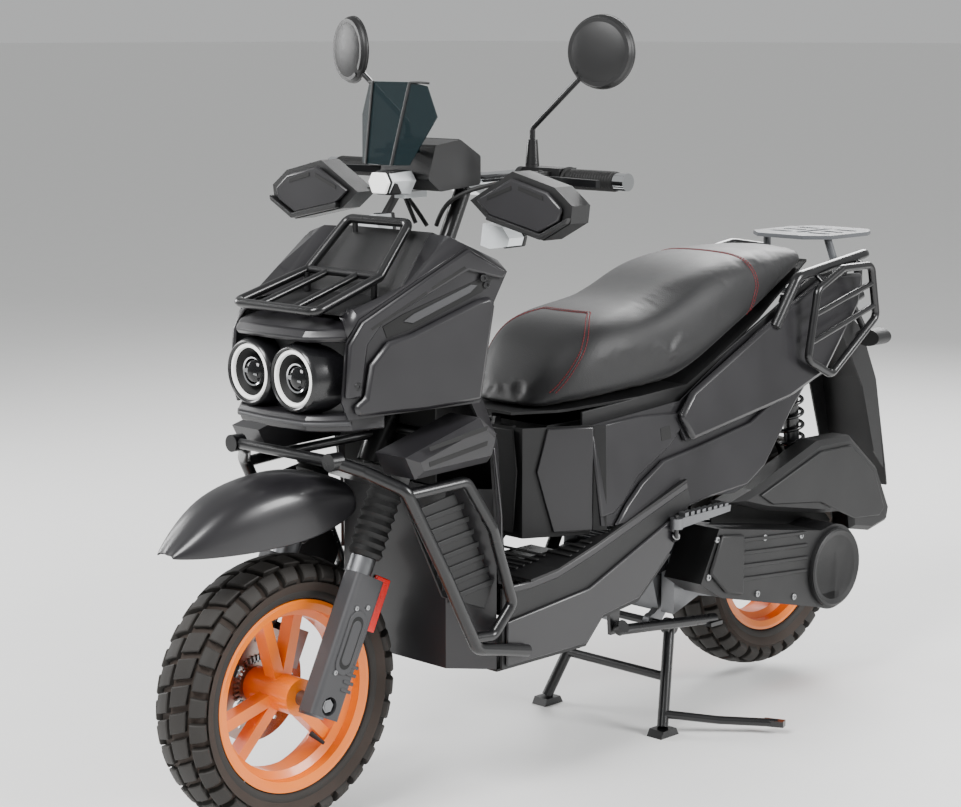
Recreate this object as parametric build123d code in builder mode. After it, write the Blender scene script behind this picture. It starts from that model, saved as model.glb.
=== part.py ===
"""A 12-inch scooter, modelled as separate pieces in one frame.

Millimetres, +Z up, the nose towards -Y, the rider's left side towards +X, and the origin on the
floor under the middle of the machine. Stations run rearward from the front axle and heights from
the floor. The scooter stands on its centre stand, so the rear wheel hangs clear of the floor.
"""
import os
from math import cos, radians, sin

from build123d import *

os.makedirs("parts", exist_ok=True)

# Driving dimensions.
OVERALL_LENGTH = 1932.0
FRONT_OVERHANG = 238.0
WHEELBASE = 1308.0
RAKE = 26.0
STEER_OFFSET = 38.0
FORK_HALF = 95.0
FRONT_TYRE_R = 236.5
FRONT_TYRE_W = 120.0
REAR_TYRE_R = 243.5
REAR_TYRE_W = 130.0
REAR_AXLE_H = 269.0
FLANGE_R = 166.0
BEAD_R = 153.0
AXLE_R = 7.5
STANCHION_R = 16.0
SLIDER_R = 22.0
BAR_R = 11.0
BAR_HALF = 368.0
BAR_STATION = 466.0
BAR_HEIGHT = 1094.0
GRIP_R = 16.5
GRIP_START = 235.0
GRIP_LENGTH = 110.0
MIRROR_R = 62.5
STEM_X = 156.0
STEM_STATION = 460.0
FLOOR_HALF = 205.0
SEAT_HALF = 152.0
RACK_TUBE_R = 8.0
CRASH_TUBE_R = 11.0
FRAME_TUBE_R = 13.0
FRAME_HALF = 115.0
SWING_STATION = 880.0
SWING_HEIGHT = 330.0
STAND_STATION = 910.0
STAND_HEIGHT = 195.0
STAND_TUBE_R = 11.0
SEAT_HINGE = (508.0, 648.0)
SHOCK_X = 98.0
SHOCK_TOP = (1290.0, 690.0)
SHOCK_BOTTOM = (1318.0, 352.0)
COVER_CENTRE = (1311.0, 262.0)
COVER_R = 88.0
PEG_X = 217.0
PEG_PIVOT = 792.0

# Walls and clearances.
PANEL = 4.0
SHELL = 3.0
FIT = 0.05
GAP = 0.4
PIVOT_GAP = 2.5

AXLE_Y = FRONT_OVERHANG - OVERALL_LENGTH / 2
AXLE_H = FRONT_TYRE_R
RAKE_UP = Vector(0, sin(radians(RAKE)), cos(radians(RAKE)))
RAKE_BACK = Vector(0, cos(radians(RAKE)), -sin(radians(RAKE)))


def at(x, station, height):
    """A point given by side distance, station and height."""
    return Vector(x, AXLE_Y + station, height)


def side(x):
    """Sketch plane beside the middle plane; its axes are station and height."""
    return Plane(origin=(x, AXLE_Y, 0), x_dir=(0, 1, 0), z_dir=(1, 0, 0))


def level(height):
    """Horizontal sketch plane; its axes are side distance and station."""
    return Plane(origin=(0, AXLE_Y, height), x_dir=(1, 0, 0), z_dir=(0, 0, 1))


def cross(station):
    """Upright sketch plane across the machine, facing forward; its axes are side and height."""
    return Plane(origin=(0, AXLE_Y + station, 0), x_dir=(1, 0, 0), z_dir=(0, -1, 0))


def fork_point(x, along, behind=0.0):
    """A point up the fork from the front axle and behind the legs."""
    return at(x, 0, AXLE_H) + RAKE_UP * along + RAKE_BACK * behind


def fork_plane(x, along, behind=0.0):
    """Sketch plane across the fork; its second axis points behind the legs."""
    return Plane(origin=fork_point(x, along, behind), x_dir=(1, 0, 0), z_dir=RAKE_UP)


def outline(points):
    """A closed straight-sided outline in the current sketch."""
    with BuildLine() as edge:
        Polyline(*points, close=True)
    make_face(edge.line.edges())


def slab(points, x_from, x_to, mode=Mode.ADD):
    """A side profile extruded between two distances from the middle plane."""
    with BuildSketch(side(x_from)) as profile:
        outline(points)
    extrude(profile.sketch, amount=x_to - x_from, mode=mode)


def plan(points, low, high, mode=Mode.ADD):
    """A plan outline extruded between two heights."""
    with BuildSketch(level(low)) as profile:
        outline(points)
    extrude(profile.sketch, amount=high - low, mode=mode)


def post(plane, radius, length, taper=0.0, mode=Mode.ADD):
    """A round bar, or a cone when tapered, standing on a plane."""
    with BuildSketch(plane) as profile:
        Circle(radius)
    extrude(profile.sketch, amount=length, taper=taper, mode=mode)


def ball(centre, radius, mode=Mode.ADD):
    """A ball made by turning half a disc about the upright through its centre."""
    with BuildSketch(Plane(origin=centre, x_dir=(1, 0, 0), z_dir=(0, -1, 0))) as half:
        with BuildLine():
            CenterArc((0, 0), radius, -90, 180)
            Line((0, radius), (0, -radius))
        make_face()
    revolve(half.sketch, axis=Axis(centre, (0, 0, 1)), mode=mode)


def rod(start, end, radius, mode=Mode.ADD):
    """A round bar between two points."""
    run = Vector(*end) - Vector(*start)
    post(Plane(origin=start, z_dir=run), radius, run.length, mode=mode)


def tube(points, radius, bend):
    """A bent round bar through the given points."""
    with BuildLine() as path:
        FilletPolyline(*points, radius=bend)
    with BuildSketch(Plane(origin=path.line @ 0, z_dir=path.line % 0)) as section:
        Circle(radius)
    sweep(section.sketch, path=path.line)


def barrel(x_from, x_to, station, height, radius, mode=Mode.ADD):
    """A cylinder lying across the machine."""
    with BuildSketch(side(x_from)) as profile:
        with Locations((station, height)):
            Circle(radius)
    extrude(profile.sketch, amount=x_to - x_from, mode=mode)


def strip(points, thickness):
    """Outline of a folded sheet: the given upper line and the same line lowered."""
    return list(points) + [(a, b - thickness) for a, b in reversed(points)]


def save(piece, name):
    """Label a finished piece and write it."""
    piece.part.label = name
    export_step(piece.part, f"parts/{name}.step")


# ---------------------------------------------------------------- wheels
def turned(points, station, height):
    """Revolve an outline of (side distance, radius) points about a wheel axle."""
    centre = at(0, station, height)
    with BuildSketch(Plane(origin=centre, x_dir=(1, 0, 0), z_dir=(0, -1, 0))) as section:
        outline(points)
    revolve(section.sketch, axis=Axis(centre, (1, 0, 0)))


def wheel_rim(station, height, flange_x, hub_from, hub_to, hub_r, bore_r):
    """Cast rim: barrel with flanges, three split spoke pairs and a hub."""
    outer = [(-flange_x, FLANGE_R), (-flange_x + 5, FLANGE_R), (-flange_x + 7, BEAD_R)]
    outer += [(-24, BEAD_R), (-17, BEAD_R - 13)]
    inner = [(-flange_x, FLANGE_R - 6), (-flange_x + 3, BEAD_R - 5), (-26, BEAD_R - 6)]
    inner += [(-19, BEAD_R - 19)]
    ring = outer + [(-x, r) for x, r in reversed(outer)]
    ring += [(-x, r) for x, r in inner] + [(x, r) for x, r in reversed(inner)]
    turned(ring, station, height)
    barrel(hub_from, hub_to, station, height, hub_r)
    spoke_length = BEAD_R - 17 - hub_r + 6
    with BuildSketch(Plane(origin=at(-14, station, height), x_dir=(0, 1, 0),
                           z_dir=(1, 0, 0))) as spokes:
        for lean in (-15, 15):
            with PolarLocations(hub_r - 6 + spoke_length / 2, 3, start_angle=90 + lean):
                Rectangle(spoke_length, 20)
    extrude(spokes.sketch, amount=28)
    barrel(hub_from - 1, hub_to + 1, station, height, bore_r, mode=Mode.SUBTRACT)


def wheel_tyre(station, height, radius, width, flange_x):
    """Hollow tyre whose beads sit between the rim flanges."""
    half = width / 2
    bead = flange_x - 7.3
    outer = [(-bead, BEAD_R + 0.3), (-bead, FLANGE_R + 1), (-half + 2, BEAD_R + 36)]
    outer += [(-half, radius - 32), (-half + 9, radius - 11), (-half + 32, radius - 1.5)]
    inner = [(-bead + 10, BEAD_R + 0.3), (-bead + 8, FLANGE_R + 4), (-half + 13, BEAD_R + 38)]
    inner += [(-half + 12, radius - 34), (-half + 20, radius - 20)]
    section = outer + [(0, radius)] + [(-x, r) for x, r in reversed(outer)]
    section += [(-x, r) for x, r in inner] + [(0, radius - 10)]
    section += [(x, r) for x, r in reversed(inner)]
    turned(section, station, height)


with BuildPart() as front_rim:
    wheel_rim(0, AXLE_H, 46, -56, 58, 32, AXLE_R + FIT)
save(front_rim, "front_rim")

with BuildPart() as front_tyre:
    wheel_tyre(0, AXLE_H, FRONT_TYRE_R, FRONT_TYRE_W, 46)
save(front_tyre, "front_tyre")

with BuildPart() as rear_rim:
    wheel_rim(WHEELBASE, REAR_AXLE_H, 49, -58, 58, 52, 12 + FIT)
    barrel(-70, 74, WHEELBASE, REAR_AXLE_H, 12)
save(rear_rim, "rear_rim")

with BuildPart() as rear_tyre:
    wheel_tyre(WHEELBASE, REAR_AXLE_H, REAR_TYRE_R, REAR_TYRE_W, 49)
save(rear_tyre, "rear_tyre")

DISC_X = -61.0
DISC_R = 100.0
with BuildPart() as brake_disc:
    barrel(DISC_X, DISC_X + 4, 0, AXLE_H, DISC_R)
    barrel(DISC_X, DISC_X + 4, 0, AXLE_H, 18, mode=Mode.SUBTRACT)
    with BuildSketch(side(DISC_X)):
        with Locations((0, AXLE_H)):
            with PolarLocations(78, 12):
                Circle(4)
            with PolarLocations(52, 5):
                Circle(11)
    extrude(amount=4, mode=Mode.SUBTRACT)
save(brake_disc, "brake_disc")

# ---------------------------------------------------------------- fork
SLIDER_TOP = 256.0
STANCHION_LOW = 104.0
YOKE_LOW = 390.0
YOKE_HIGH = 412.0
STEM_R = 15.0
STEM_TOP = 938.0
HEAD_LOW = 424.0
HEAD_HIGH = 640.0

with BuildPart() as fork_sliders:
    with BuildSketch(fork_plane(FORK_HALF, -24)):
        Circle(SLIDER_R)
    extrude(amount=SLIDER_TOP + 24)
    barrel(FORK_HALF - 36, FORK_HALF, 0, AXLE_H, 13)
    mirror(about=Plane.YZ)
    for leg_x in (-FORK_HALF, FORK_HALF):
        with BuildSketch(fork_plane(leg_x, 40)):
            Circle(STANCHION_R + FIT)
        extrude(amount=SLIDER_TOP, mode=Mode.SUBTRACT)
    barrel(-FORK_HALF - 40, FORK_HALF + 40, 0, AXLE_H, AXLE_R + FIT, mode=Mode.SUBTRACT)
    barrel(-FORK_HALF - 30, FORK_HALF + 32, 0, AXLE_H, AXLE_R)
    with BuildSketch(side(FORK_HALF + SLIDER_R + GAP)):
        with Locations((0, AXLE_H)):
            RegularPolygon(12, 6)
    extrude(amount=9)
save(fork_sliders, "fork_sliders")

COVER_OUT = 130.0
with BuildPart() as slider_covers:
    with BuildSketch(fork_plane(0, -20)):
        with Locations(((COVER_OUT + 90) / 2, 1)):
            Rectangle(COVER_OUT - 90, 66)
    extrude(amount=246)
    fillet(slider_covers.edges().filter_by(Axis(fork_point(0, 0), RAKE_UP)), 9)
    with BuildSketch(fork_plane(FORK_HALF, -21)):
        Circle(SLIDER_R + GAP)
    extrude(amount=250, mode=Mode.SUBTRACT)
    barrel(80, 140, 0, AXLE_H, 16, mode=Mode.SUBTRACT)
    mirror(about=Plane.YZ)
save(slider_covers, "slider_covers")

with BuildPart() as brake_caliper:
    with BuildSketch(fork_plane(0, 46)):
        with Locations((-67, 45)):
            Rectangle(42, 44)
    extrude(amount=68)
    barrel(DISC_X - 3, DISC_X + 7, 0, AXLE_H, DISC_R + 3, mode=Mode.SUBTRACT)
save(brake_caliper, "brake_caliper")

with BuildPart() as fork_bellows:
    with BuildSketch(Plane(origin=fork_point(FORK_HALF, 0), x_dir=(1, 0, 0), z_dir=-RAKE_BACK)):
        with BuildLine():
            ribs = [(STANCHION_R + 1, SLIDER_TOP + 1)]
            for fold in range(8):
                base = SLIDER_TOP + 1 + fold * 16.4
                ribs += [(26, base), (31, base + 8)]
            ribs += [(26, YOKE_LOW - 1), (STANCHION_R + 1, YOKE_LOW - 1)]
            Polyline(*ribs, close=True)
        make_face()
    revolve(axis=Axis(fork_point(FORK_HALF, 0), RAKE_UP))
    mirror(about=Plane.YZ)
save(fork_bellows, "fork_bellows")

with BuildPart() as fork_yoke:
    for leg_x in (-FORK_HALF, FORK_HALF):
        with BuildSketch(fork_plane(leg_x, STANCHION_LOW)):
            Circle(STANCHION_R)
        extrude(amount=YOKE_HIGH - STANCHION_LOW)
    with BuildSketch(fork_plane(0, YOKE_LOW)):
        outline([(-120, -22), (120, -22), (120, 22), (40, 62), (-40, 62), (-120, 22)])
    extrude(amount=YOKE_HIGH - YOKE_LOW)
    with BuildSketch(fork_plane(0, YOKE_LOW, STEER_OFFSET)):
        Circle(STEM_R)
    extrude(amount=STEM_TOP - YOKE_LOW)
save(fork_yoke, "fork_yoke")

with BuildPart() as front_fender:
    crest = [(-236, 513), (-204, 548), (-151, 588), (-99, 607), (-24, 617), (60, 614), (110, 596)]
    skirt = [(122, 540), (83, 530), (0, 506), (-121, 505), (-213, 508)]
    slab(crest + skirt, -80, 80)
    nose = [(-22, -238), (22, -238), (64, -150), (78, -60), (78, 130), (-78, 130), (-78, -60)]
    with BuildSketch(level(400)):
        outline(nose + [(-64, -150)])
    extrude(amount=300, mode=Mode.INTERSECT)
    inner = [(-210, 500), (-196, 540), (-148, 582), (-97, 601), (-24, 611), (58, 608), (130, 584)]
    with BuildSketch(side(-73)):
        outline(inner + [(140, 480), (-210, 480)])
    extrude(amount=146, mode=Mode.SUBTRACT)
    for leg_x in (-FORK_HALF, FORK_HALF):
        with BuildSketch(fork_plane(leg_x, 200)):
            Circle(34)
        extrude(amount=300, mode=Mode.SUBTRACT)
save(front_fender, "front_fender")

# ---------------------------------------------------------------- handlebar
CLAMP_STATION = 457.0
CLAMP_HEIGHT = 1087.0
with BuildPart() as handlebar:
    straight_x = 110.0
    tube([at(BAR_HALF, BAR_STATION, BAR_HEIGHT), at(straight_x, BAR_STATION, BAR_HEIGHT),
          at(50, CLAMP_STATION, CLAMP_HEIGHT), at(-50, CLAMP_STATION, CLAMP_HEIGHT),
          at(-straight_x, BAR_STATION, BAR_HEIGHT), at(-BAR_HALF, BAR_STATION, BAR_HEIGHT)],
         BAR_R, 40)
    with BuildSketch(fork_plane(0, STEM_TOP + 1, STEER_OFFSET)):
        Rectangle(64, 38)
    extrude(amount=34)
    for end_x in (-1, 1):
        barrel(end_x * (GRIP_START + GRIP_LENGTH + 1), end_x * (BAR_HALF + 2),
               BAR_STATION, BAR_HEIGHT, 15)
save(handlebar, "handlebar")


def grip(sign):
    """Rubber grip with raised rings at both ends."""
    start = sign * GRIP_START
    barrel(start, start + sign * GRIP_LENGTH, BAR_STATION, BAR_HEIGHT, GRIP_R)
    barrel(start, start + sign * 5, BAR_STATION, BAR_HEIGHT, GRIP_R + 4)
    barrel(start - sign, start + sign * (GRIP_LENGTH + 1), BAR_STATION, BAR_HEIGHT,
           BAR_R + FIT, mode=Mode.SUBTRACT)


with BuildPart() as left_grip:
    grip(1)
save(left_grip, "left_grip")

with BuildPart() as throttle_grip:
    grip(-1)
save(throttle_grip, "throttle_grip")

BOX_START = 190.0
BOX_END = 232.0
LEVER_X = 200.0
LEVER_STATION = 433.0
BUTTON_R = 6.0
with BuildPart() as switch_housings:
    slab([(446, 1076), (490, 1076), (490, 1112), (446, 1112)], BOX_START, BOX_END)
    slab([(446, 1078), (486, 1078), (486, 1112), (446, 1112)], STEM_X - 12, BOX_START)
    with BuildSketch(level(1112)):
        with Locations((STEM_X, STEM_STATION)):
            Circle(12)
    extrude(amount=4)
    plan([(188, 418), (214, 418), (214, 447), (188, 447)], 1082, 1106)
    plan([(187, 417), (215, 417), (215, 443), (187, 443)], 1088 - GAP, 1100 + GAP,
         mode=Mode.SUBTRACT)
    with BuildSketch(level(1081)):
        with Locations((LEVER_X, LEVER_STATION)):
            Circle(4)
    extrude(amount=27)
    barrel(STEM_X - 13, BOX_END + 1, BAR_STATION, BAR_HEIGHT, BAR_R + FIT, mode=Mode.SUBTRACT)
    with BuildSketch(cross(491)):
        with Locations((222, 1084)):
            Circle(BUTTON_R + FIT)
    extrude(amount=8, mode=Mode.SUBTRACT)
    mirror(about=Plane.YZ)
    slab([(483, 1095), (491, 1095), (491, 1107), (483, 1107)], 198, 216, mode=Mode.SUBTRACT)
save(switch_housings, "switch_housings")


def lever(sign):
    """Brake lever on its pivot."""
    plan([(sign * 192, 424), (sign * 206, 422), (sign * 300, 404), (sign * 358, 398),
          (sign * 362, 404), (sign * 300, 416), (sign * 212, 440), (sign * 194, 442)],
         1088, 1100)
    post(Plane(at(sign * LEVER_X, LEVER_STATION, 1087)), 4 + FIT, 14, mode=Mode.SUBTRACT)


with BuildPart() as brake_lever_left:
    lever(1)
save(brake_lever_left, "brake_lever_left")

with BuildPart() as brake_lever_right:
    lever(-1)
save(brake_lever_right, "brake_lever_right")


def button(x):
    """Round push button in a switch housing."""
    post(Plane(origin=at(x, 493, 1084), z_dir=(0, -1, 0)), BUTTON_R, 7)


with BuildPart() as horn_button:
    button(222)
save(horn_button, "horn_button")

with BuildPart() as starter_button:
    button(-222)
save(starter_button, "starter_button")

with BuildPart() as signal_slider:
    slab([(483.2, 1095.4), (495, 1095.4), (495, 1106.6), (483.2, 1106.6)], 203, 211)
save(signal_slider, "signal_slider")

GUARD_STATION = 322.0
with BuildPart() as hand_guards:
    guard = [(141, 1060), (240, 1113), (335, 1091), (375, 1062), (371, 1033), (312, 1002),
             (185, 1028)]
    with BuildSketch(cross(GUARD_STATION + 44)):
        outline(guard)
    extrude(amount=44)
    with BuildSketch(cross(GUARD_STATION + 45)):
        outline(guard)
        offset(amount=-SHELL, kind=Kind.INTERSECTION, mode=Mode.REPLACE)
    extrude(amount=45 - SHELL, mode=Mode.SUBTRACT)
    with BuildSketch(cross(GUARD_STATION)):
        with Locations(Location((205, 1076), 22), Location((262, 1086), -10)):
            SlotOverall(34, 7)
    extrude(amount=-SHELL, mode=Mode.SUBTRACT)
    rod(at(160, GUARD_STATION + 2, 1052), at(128, BAR_STATION - 14, 1090), 5)
    barrel(122, 134, BAR_STATION, BAR_HEIGHT, 17)
    barrel(121, 135, BAR_STATION, BAR_HEIGHT, BAR_R + GAP / 2, mode=Mode.SUBTRACT)
    mirror(about=Plane.YZ)
save(hand_guards, "hand_guards")

with BuildPart() as front_signals:
    with BuildSketch(cross(400)):
        outline([(128, 980), (150, 975), (192, 982), (197, 996), (180, 1014), (134, 1018)])
    extrude(amount=40)
    rod(at(152, 390, 1004), at(158, 462, 1086), 6)
    slab([(430, 1077.6), (480, 1077.6), (480, 1110), (430, 1110)], 140, 180, mode=Mode.SUBTRACT)
    mirror(about=Plane.YZ)
    with BuildSketch(cross(298)):
        outline([(-34, 1090), (-22, 1106), (22, 1106), (34, 1090), (20, 1066), (-20, 1066)])
    extrude(amount=48, taper=4)
    plan([(-12, 290), (12, 290), (12, 345), (-12, 345)], 1058, 1069)
save(front_signals, "front_signals")

# Mirrors: a bent stem ending in a ball, and a round head tilting on it.
BALL = (284.0, 455.0, 1282.0)
BALL_R = 7.0
MIRROR_CENTRE = (310.0, 461.0, 1309.0)
MIRROR_YAW = 15.0


def mirror_stem(sign):
    """Rubber boot, bent rod and ball."""
    post(Plane(at(sign * STEM_X, STEM_STATION, 1116 + GAP)), 12, 42, taper=4)
    tube([at(sign * STEM_X, STEM_STATION, 1150), at(sign * STEM_X, STEM_STATION, 1178),
          at(sign * (BALL[0] - 12), BALL[1], BALL[2] - 15), at(sign * BALL[0], BALL[1], BALL[2])],
         5, 10)
    ball(at(sign * BALL[0], BALL[1], BALL[2]), BALL_R)


def mirror_head(sign):
    """Round domed shell with the ball socket near its lower inner edge."""
    turn = radians(MIRROR_YAW)
    centre = at(sign * MIRROR_CENTRE[0], MIRROR_CENTRE[1], MIRROR_CENTRE[2])
    ahead = Vector(sign * sin(turn), -cos(turn), 0)
    post(Plane(origin=centre - ahead * 6, x_dir=(0, 0, 1), z_dir=ahead), MIRROR_R, 14, taper=22)
    socket = at(sign * BALL[0], BALL[1], BALL[2])
    post(Plane(origin=socket - ahead * 3, x_dir=(0, 0, 1), z_dir=ahead), 13, 10)
    ball(socket, BALL_R + FIT, mode=Mode.SUBTRACT)
    rod(socket, socket + Vector(-sign * 40, 0, -50), 13, mode=Mode.SUBTRACT)


with BuildPart() as mirror_stem_left:
    mirror_stem(1)
save(mirror_stem_left, "mirror_stem_left")

with BuildPart() as mirror_stem_right:
    mirror_stem(-1)
save(mirror_stem_right, "mirror_stem_right")

with BuildPart() as mirror_head_left:
    mirror_head(1)
save(mirror_head_left, "mirror_head_left")

with BuildPart() as mirror_head_right:
    mirror_head(-1)
save(mirror_head_right, "mirror_head_right")

with BuildPart() as dash:
    slab([(300, 1092), (318, 1150), (378, 1158), (428, 1128), (428, 1078), (330, 1070)], -62, 62)
    fillet(dash.edges().filter_by(Axis.X), 6)
    plan([(-18, 426), (18, 426), (18, 433), (-18, 433)], 1084, 1100)
save(dash, "dash")

with BuildPart() as windscreen:
    fold_low = at(32, 243, 1118)
    fold_high = at(46, 274, 1258)
    flank = at(75, 290, 1258)
    for origin, across in ((fold_low, flank - fold_high),):
        rise = fold_high - fold_low
        with BuildSketch(Plane(origin=origin, x_dir=rise, z_dir=rise.cross(across))):
            outline([(0, 0), (rise.length, 0), (rise.length - 1, 31), (96, 60), (6, 30)])
        extrude(amount=4)
    mirror(about=Plane.YZ)
    for sign in (-1, 1):
        rod(at(sign * 32, 245, 1119), at(sign * 46, 276, 1257), 2.4)
    rise = Vector(0, 31, 140)
    with BuildSketch(Plane(origin=at(0, 243, 1118), x_dir=(1, 0, 0), z_dir=(0, -140, 31))):
        outline([(-32, 0), (32, 0), (46, rise.length), (-46, rise.length)])
    extrude(amount=-4)
    for arm_x in (-24, 24):
        rod(at(arm_x, 251, 1140), at(arm_x, 313, 1140), 4)
save(windscreen, "windscreen")

# ---------------------------------------------------------------- frame
with BuildPart() as main_frame:
    with BuildSketch(fork_plane(0, HEAD_LOW, STEER_OFFSET)):
        Circle(27)
    extrude(amount=HEAD_HIGH - HEAD_LOW)
    tube([at(0, 283, 722), at(0, 335, 610), at(0, 362, 420), at(0, 436, 280)], 18, 60)
    rod(at(-FRAME_HALF, 440, 280), at(FRAME_HALF, 440, 280), FRAME_TUBE_R)
    rod(at(-149, 262, 660), at(149, 262, 660), 9)
    for sign in (-1, 1):
        tube([at(sign * FRAME_HALF, 440, 280), at(sign * FRAME_HALF, 780, 280),
              at(sign * 125, 880, 440), at(sign * 125, 960, 640), at(sign * 120, 1500, 800)],
             FRAME_TUBE_R, 60)
    rod(at(-120, 1490, 797), at(120, 1490, 797), FRAME_TUBE_R - 3)
    rod(at(-125, 940, 590), at(125, 940, 590), FRAME_TUBE_R - 3)
    slab([(806, 330), (898, 350), (898, 312), (800, 296)], 94, 110)
    mirror(about=Plane.YZ)
    slab([(1262, 728), (1318, 742), (1304, 676), (1276, 676)], 124, 132)
    barrel(SHOCK_X - 18, 132, SHOCK_TOP[0], SHOCK_TOP[1], 6)
    barrel(-110, 110, SWING_STATION, SWING_HEIGHT, 8)
    slab([(700, 275), (730, 275), (726, 222), (704, 222)], 126, 134)
    for sign in (-1, 1):
        rod(at(sign * 124, 824, 352), at(sign * PEG_X, PEG_PIVOT, 412), 8)
        rod(at(sign * PEG_X, PEG_PIVOT, 408), at(sign * PEG_X, PEG_PIVOT, 452), 4)
    with BuildSketch(fork_plane(0, HEAD_LOW - 10, STEER_OFFSET)):
        Circle(STEM_R + FIT)
    extrude(amount=HEAD_HIGH - HEAD_LOW + 40, mode=Mode.SUBTRACT)
save(main_frame, "main_frame")

with BuildPart() as fuel_tank:
    slab([(470, 300), (490, 356), (730, 356), (745, 340), (745, 296), (700, 288), (480, 288)],
         -96, 96)
    fillet(fuel_tank.edges().filter_by(Axis.X), 5)
save(fuel_tank, "fuel_tank")

# ---------------------------------------------------------------- front body
HEADLAMP = (56.0, 780.0)
HEADLAMP_R = 50.0
with BuildPart() as nose_cowl:
    face = [(22, 692), (-2, 702), (6, 730), (6, 838), (-18, 848), (-20, 856), (-4, 868), (40, 876),
            (128, 884), (128, 690)]
    slab(face, -134, 134)
    with BuildSketch(level(600)):
        outline([(-96, -24), (96, -24), (134, 36), (134, 128), (-134, 128), (-134, 36)])
    extrude(amount=400, mode=Mode.INTERSECT)
    with BuildSketch(side(-128)):
        outline([(24, 696), (10, 704), (10, 834), (10, 864), (40, 872), (129, 880), (129, 696)])
    extrude(amount=256, mode=Mode.SUBTRACT)
    with BuildSketch(cross(40)):
        with Locations((HEADLAMP[0], HEADLAMP[1]), (-HEADLAMP[0], HEADLAMP[1])):
            Circle(HEADLAMP_R + GAP)
    extrude(amount=80, mode=Mode.SUBTRACT)
save(nose_cowl, "nose_cowl")

with BuildPart() as headlights:
    with BuildSketch(cross(70)):
        with Locations((HEADLAMP[0], HEADLAMP[1]), (-HEADLAMP[0], HEADLAMP[1])):
            Circle(HEADLAMP_R)
    extrude(amount=78)
    with BuildSketch(cross(64)):
        with Locations((HEADLAMP[0], HEADLAMP[1]), (-HEADLAMP[0], HEADLAMP[1])):
            Circle(HEADLAMP_R - SHELL)
    extrude(amount=73, mode=Mode.SUBTRACT)
    with BuildSketch(cross(0)):
        with Locations((HEADLAMP[0], HEADLAMP[1]), (-HEADLAMP[0], HEADLAMP[1])):
            Circle(HEADLAMP_R - SHELL - FIT)
    extrude(amount=5)
save(headlights, "headlights")

SIDE_YAW = 14.4
with BuildPart() as side_panels:
    turn = radians(SIDE_YAW)
    panel_plane = Plane(origin=(141, AXLE_Y + 30, 0), x_dir=(sin(turn), cos(turn), 0),
                        z_dir=(cos(turn), -sin(turn), 0))
    with BuildSketch(panel_plane):
        outline([(8, 716), (-4, 745), (5, 842), (30, 880), (235, 990), (312, 944), (286, 893),
                 (279, 841), (259, 724)])
    extrude(amount=-PANEL)
    mirror(about=Plane.YZ)
save(side_panels, "side_panels")

with BuildPart() as front_tray:
    tray = [(44, 889), (170, 903), (255, 1008), (398, 954)]
    slab(strip(tray, PANEL), -118, 118)
    with BuildSketch(fork_plane(0, 760, STEER_OFFSET)):
        Circle(30)
    extrude(amount=160, mode=Mode.SUBTRACT)
save(front_tray, "front_tray")

with BuildPart() as front_rails:
    rack_path = [at(0, 5, 893), at(102, 5, 893), at(91, 158, 938), at(77, 241, 1022),
                 at(0, 241, 1022)]
    tube(rack_path, RACK_TUBE_R, 14)
    rod(at(0, 158, 938), at(90, 158, 938), RACK_TUBE_R - 1)
    rod(at(42, 5, 893), at(38, 158, 938), RACK_TUBE_R - 2)
    rod(at(84, 150, 934), at(84, 150, 902), RACK_TUBE_R - 2)
    rod(at(60, 241, 1016), at(60, 241, 998), RACK_TUBE_R - 3)
    tube([at(125, 20, 647), at(152, 62, 628), at(208, 104, 598), at(216, 185, 446),
          at(216, 262, 300), at(216, 388, 272)], CRASH_TUBE_R, 24)
    tube([at(208, 110, 590), at(216, 236, 596), at(226, 290, 508), at(220, 346, 366),
          at(217, 300, 316), at(216, 252, 320)], CRASH_TUBE_R - 1, 18)
    rod(at(0, 20, 647), at(125, 20, 647), CRASH_TUBE_R - 2)
    rod(at(0, 20, 647), at(0, 228, 652), CRASH_TUBE_R - 3)
    with BuildSketch(cross(8)):
        with Locations((125, 647)):
            Circle(15)
    extrude(amount=-24)
    rod(at(216, 372, 276), at(126, 440, 280), 8)
    mirror(about=Plane.YZ)
    with BuildSketch(fork_plane(0, HEAD_LOW - 10, STEER_OFFSET)):
        Circle(27 + GAP)
    extrude(amount=100, mode=Mode.SUBTRACT)
    barrel(-300, 300, 440, 280, FRAME_TUBE_R + GAP, mode=Mode.SUBTRACT)
    rod(at(-FRAME_HALF, 420, 280), at(-FRAME_HALF, 780, 280), FRAME_TUBE_R + GAP,
        mode=Mode.SUBTRACT)
    rod(at(FRAME_HALF, 420, 280), at(FRAME_HALF, 780, 280), FRAME_TUBE_R + GAP,
        mode=Mode.SUBTRACT)
save(front_rails, "front_rails")

SHIELD_LEVELS = [(944, 412, 116), (720, 372, 116), (640, 380, 150), (398, 402, 150)]


def shield_section(station, half):
    """One level of the leg shield: a sheet with swept-forward wings."""
    wing = half * 4 / 3
    back = [(-wing, station - 65), (-half, station), (half, station), (wing, station - 65)]
    ahead = [(wing - 4, station - 67), (half - 2, station - PANEL), (2 - half, station - PANEL),
             (4 - wing, station - 67)]
    return back + ahead


with BuildPart() as leg_shield:
    for height, station, half in SHIELD_LEVELS[:2]:
        with BuildSketch(level(height)):
            outline(shield_section(station, half))
    loft(ruled=True)
    for height, station, half in SHIELD_LEVELS[1:3]:
        with BuildSketch(level(height)):
            outline(shield_section(station, half))
    loft(ruled=True)
    for height, station, half in SHIELD_LEVELS[2:]:
        with BuildSketch(level(height)):
            outline(shield_section(station, half))
    loft(ruled=True)
    cowl_outer = [(-197, 330), (-130, 272), (130, 272), (197, 330)]
    cowl_inner = [(193, 332), (128, 276), (-128, 276), (-193, 332)]
    plan(cowl_outer + cowl_inner, 246, 566)
save(leg_shield, "leg_shield")

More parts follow.
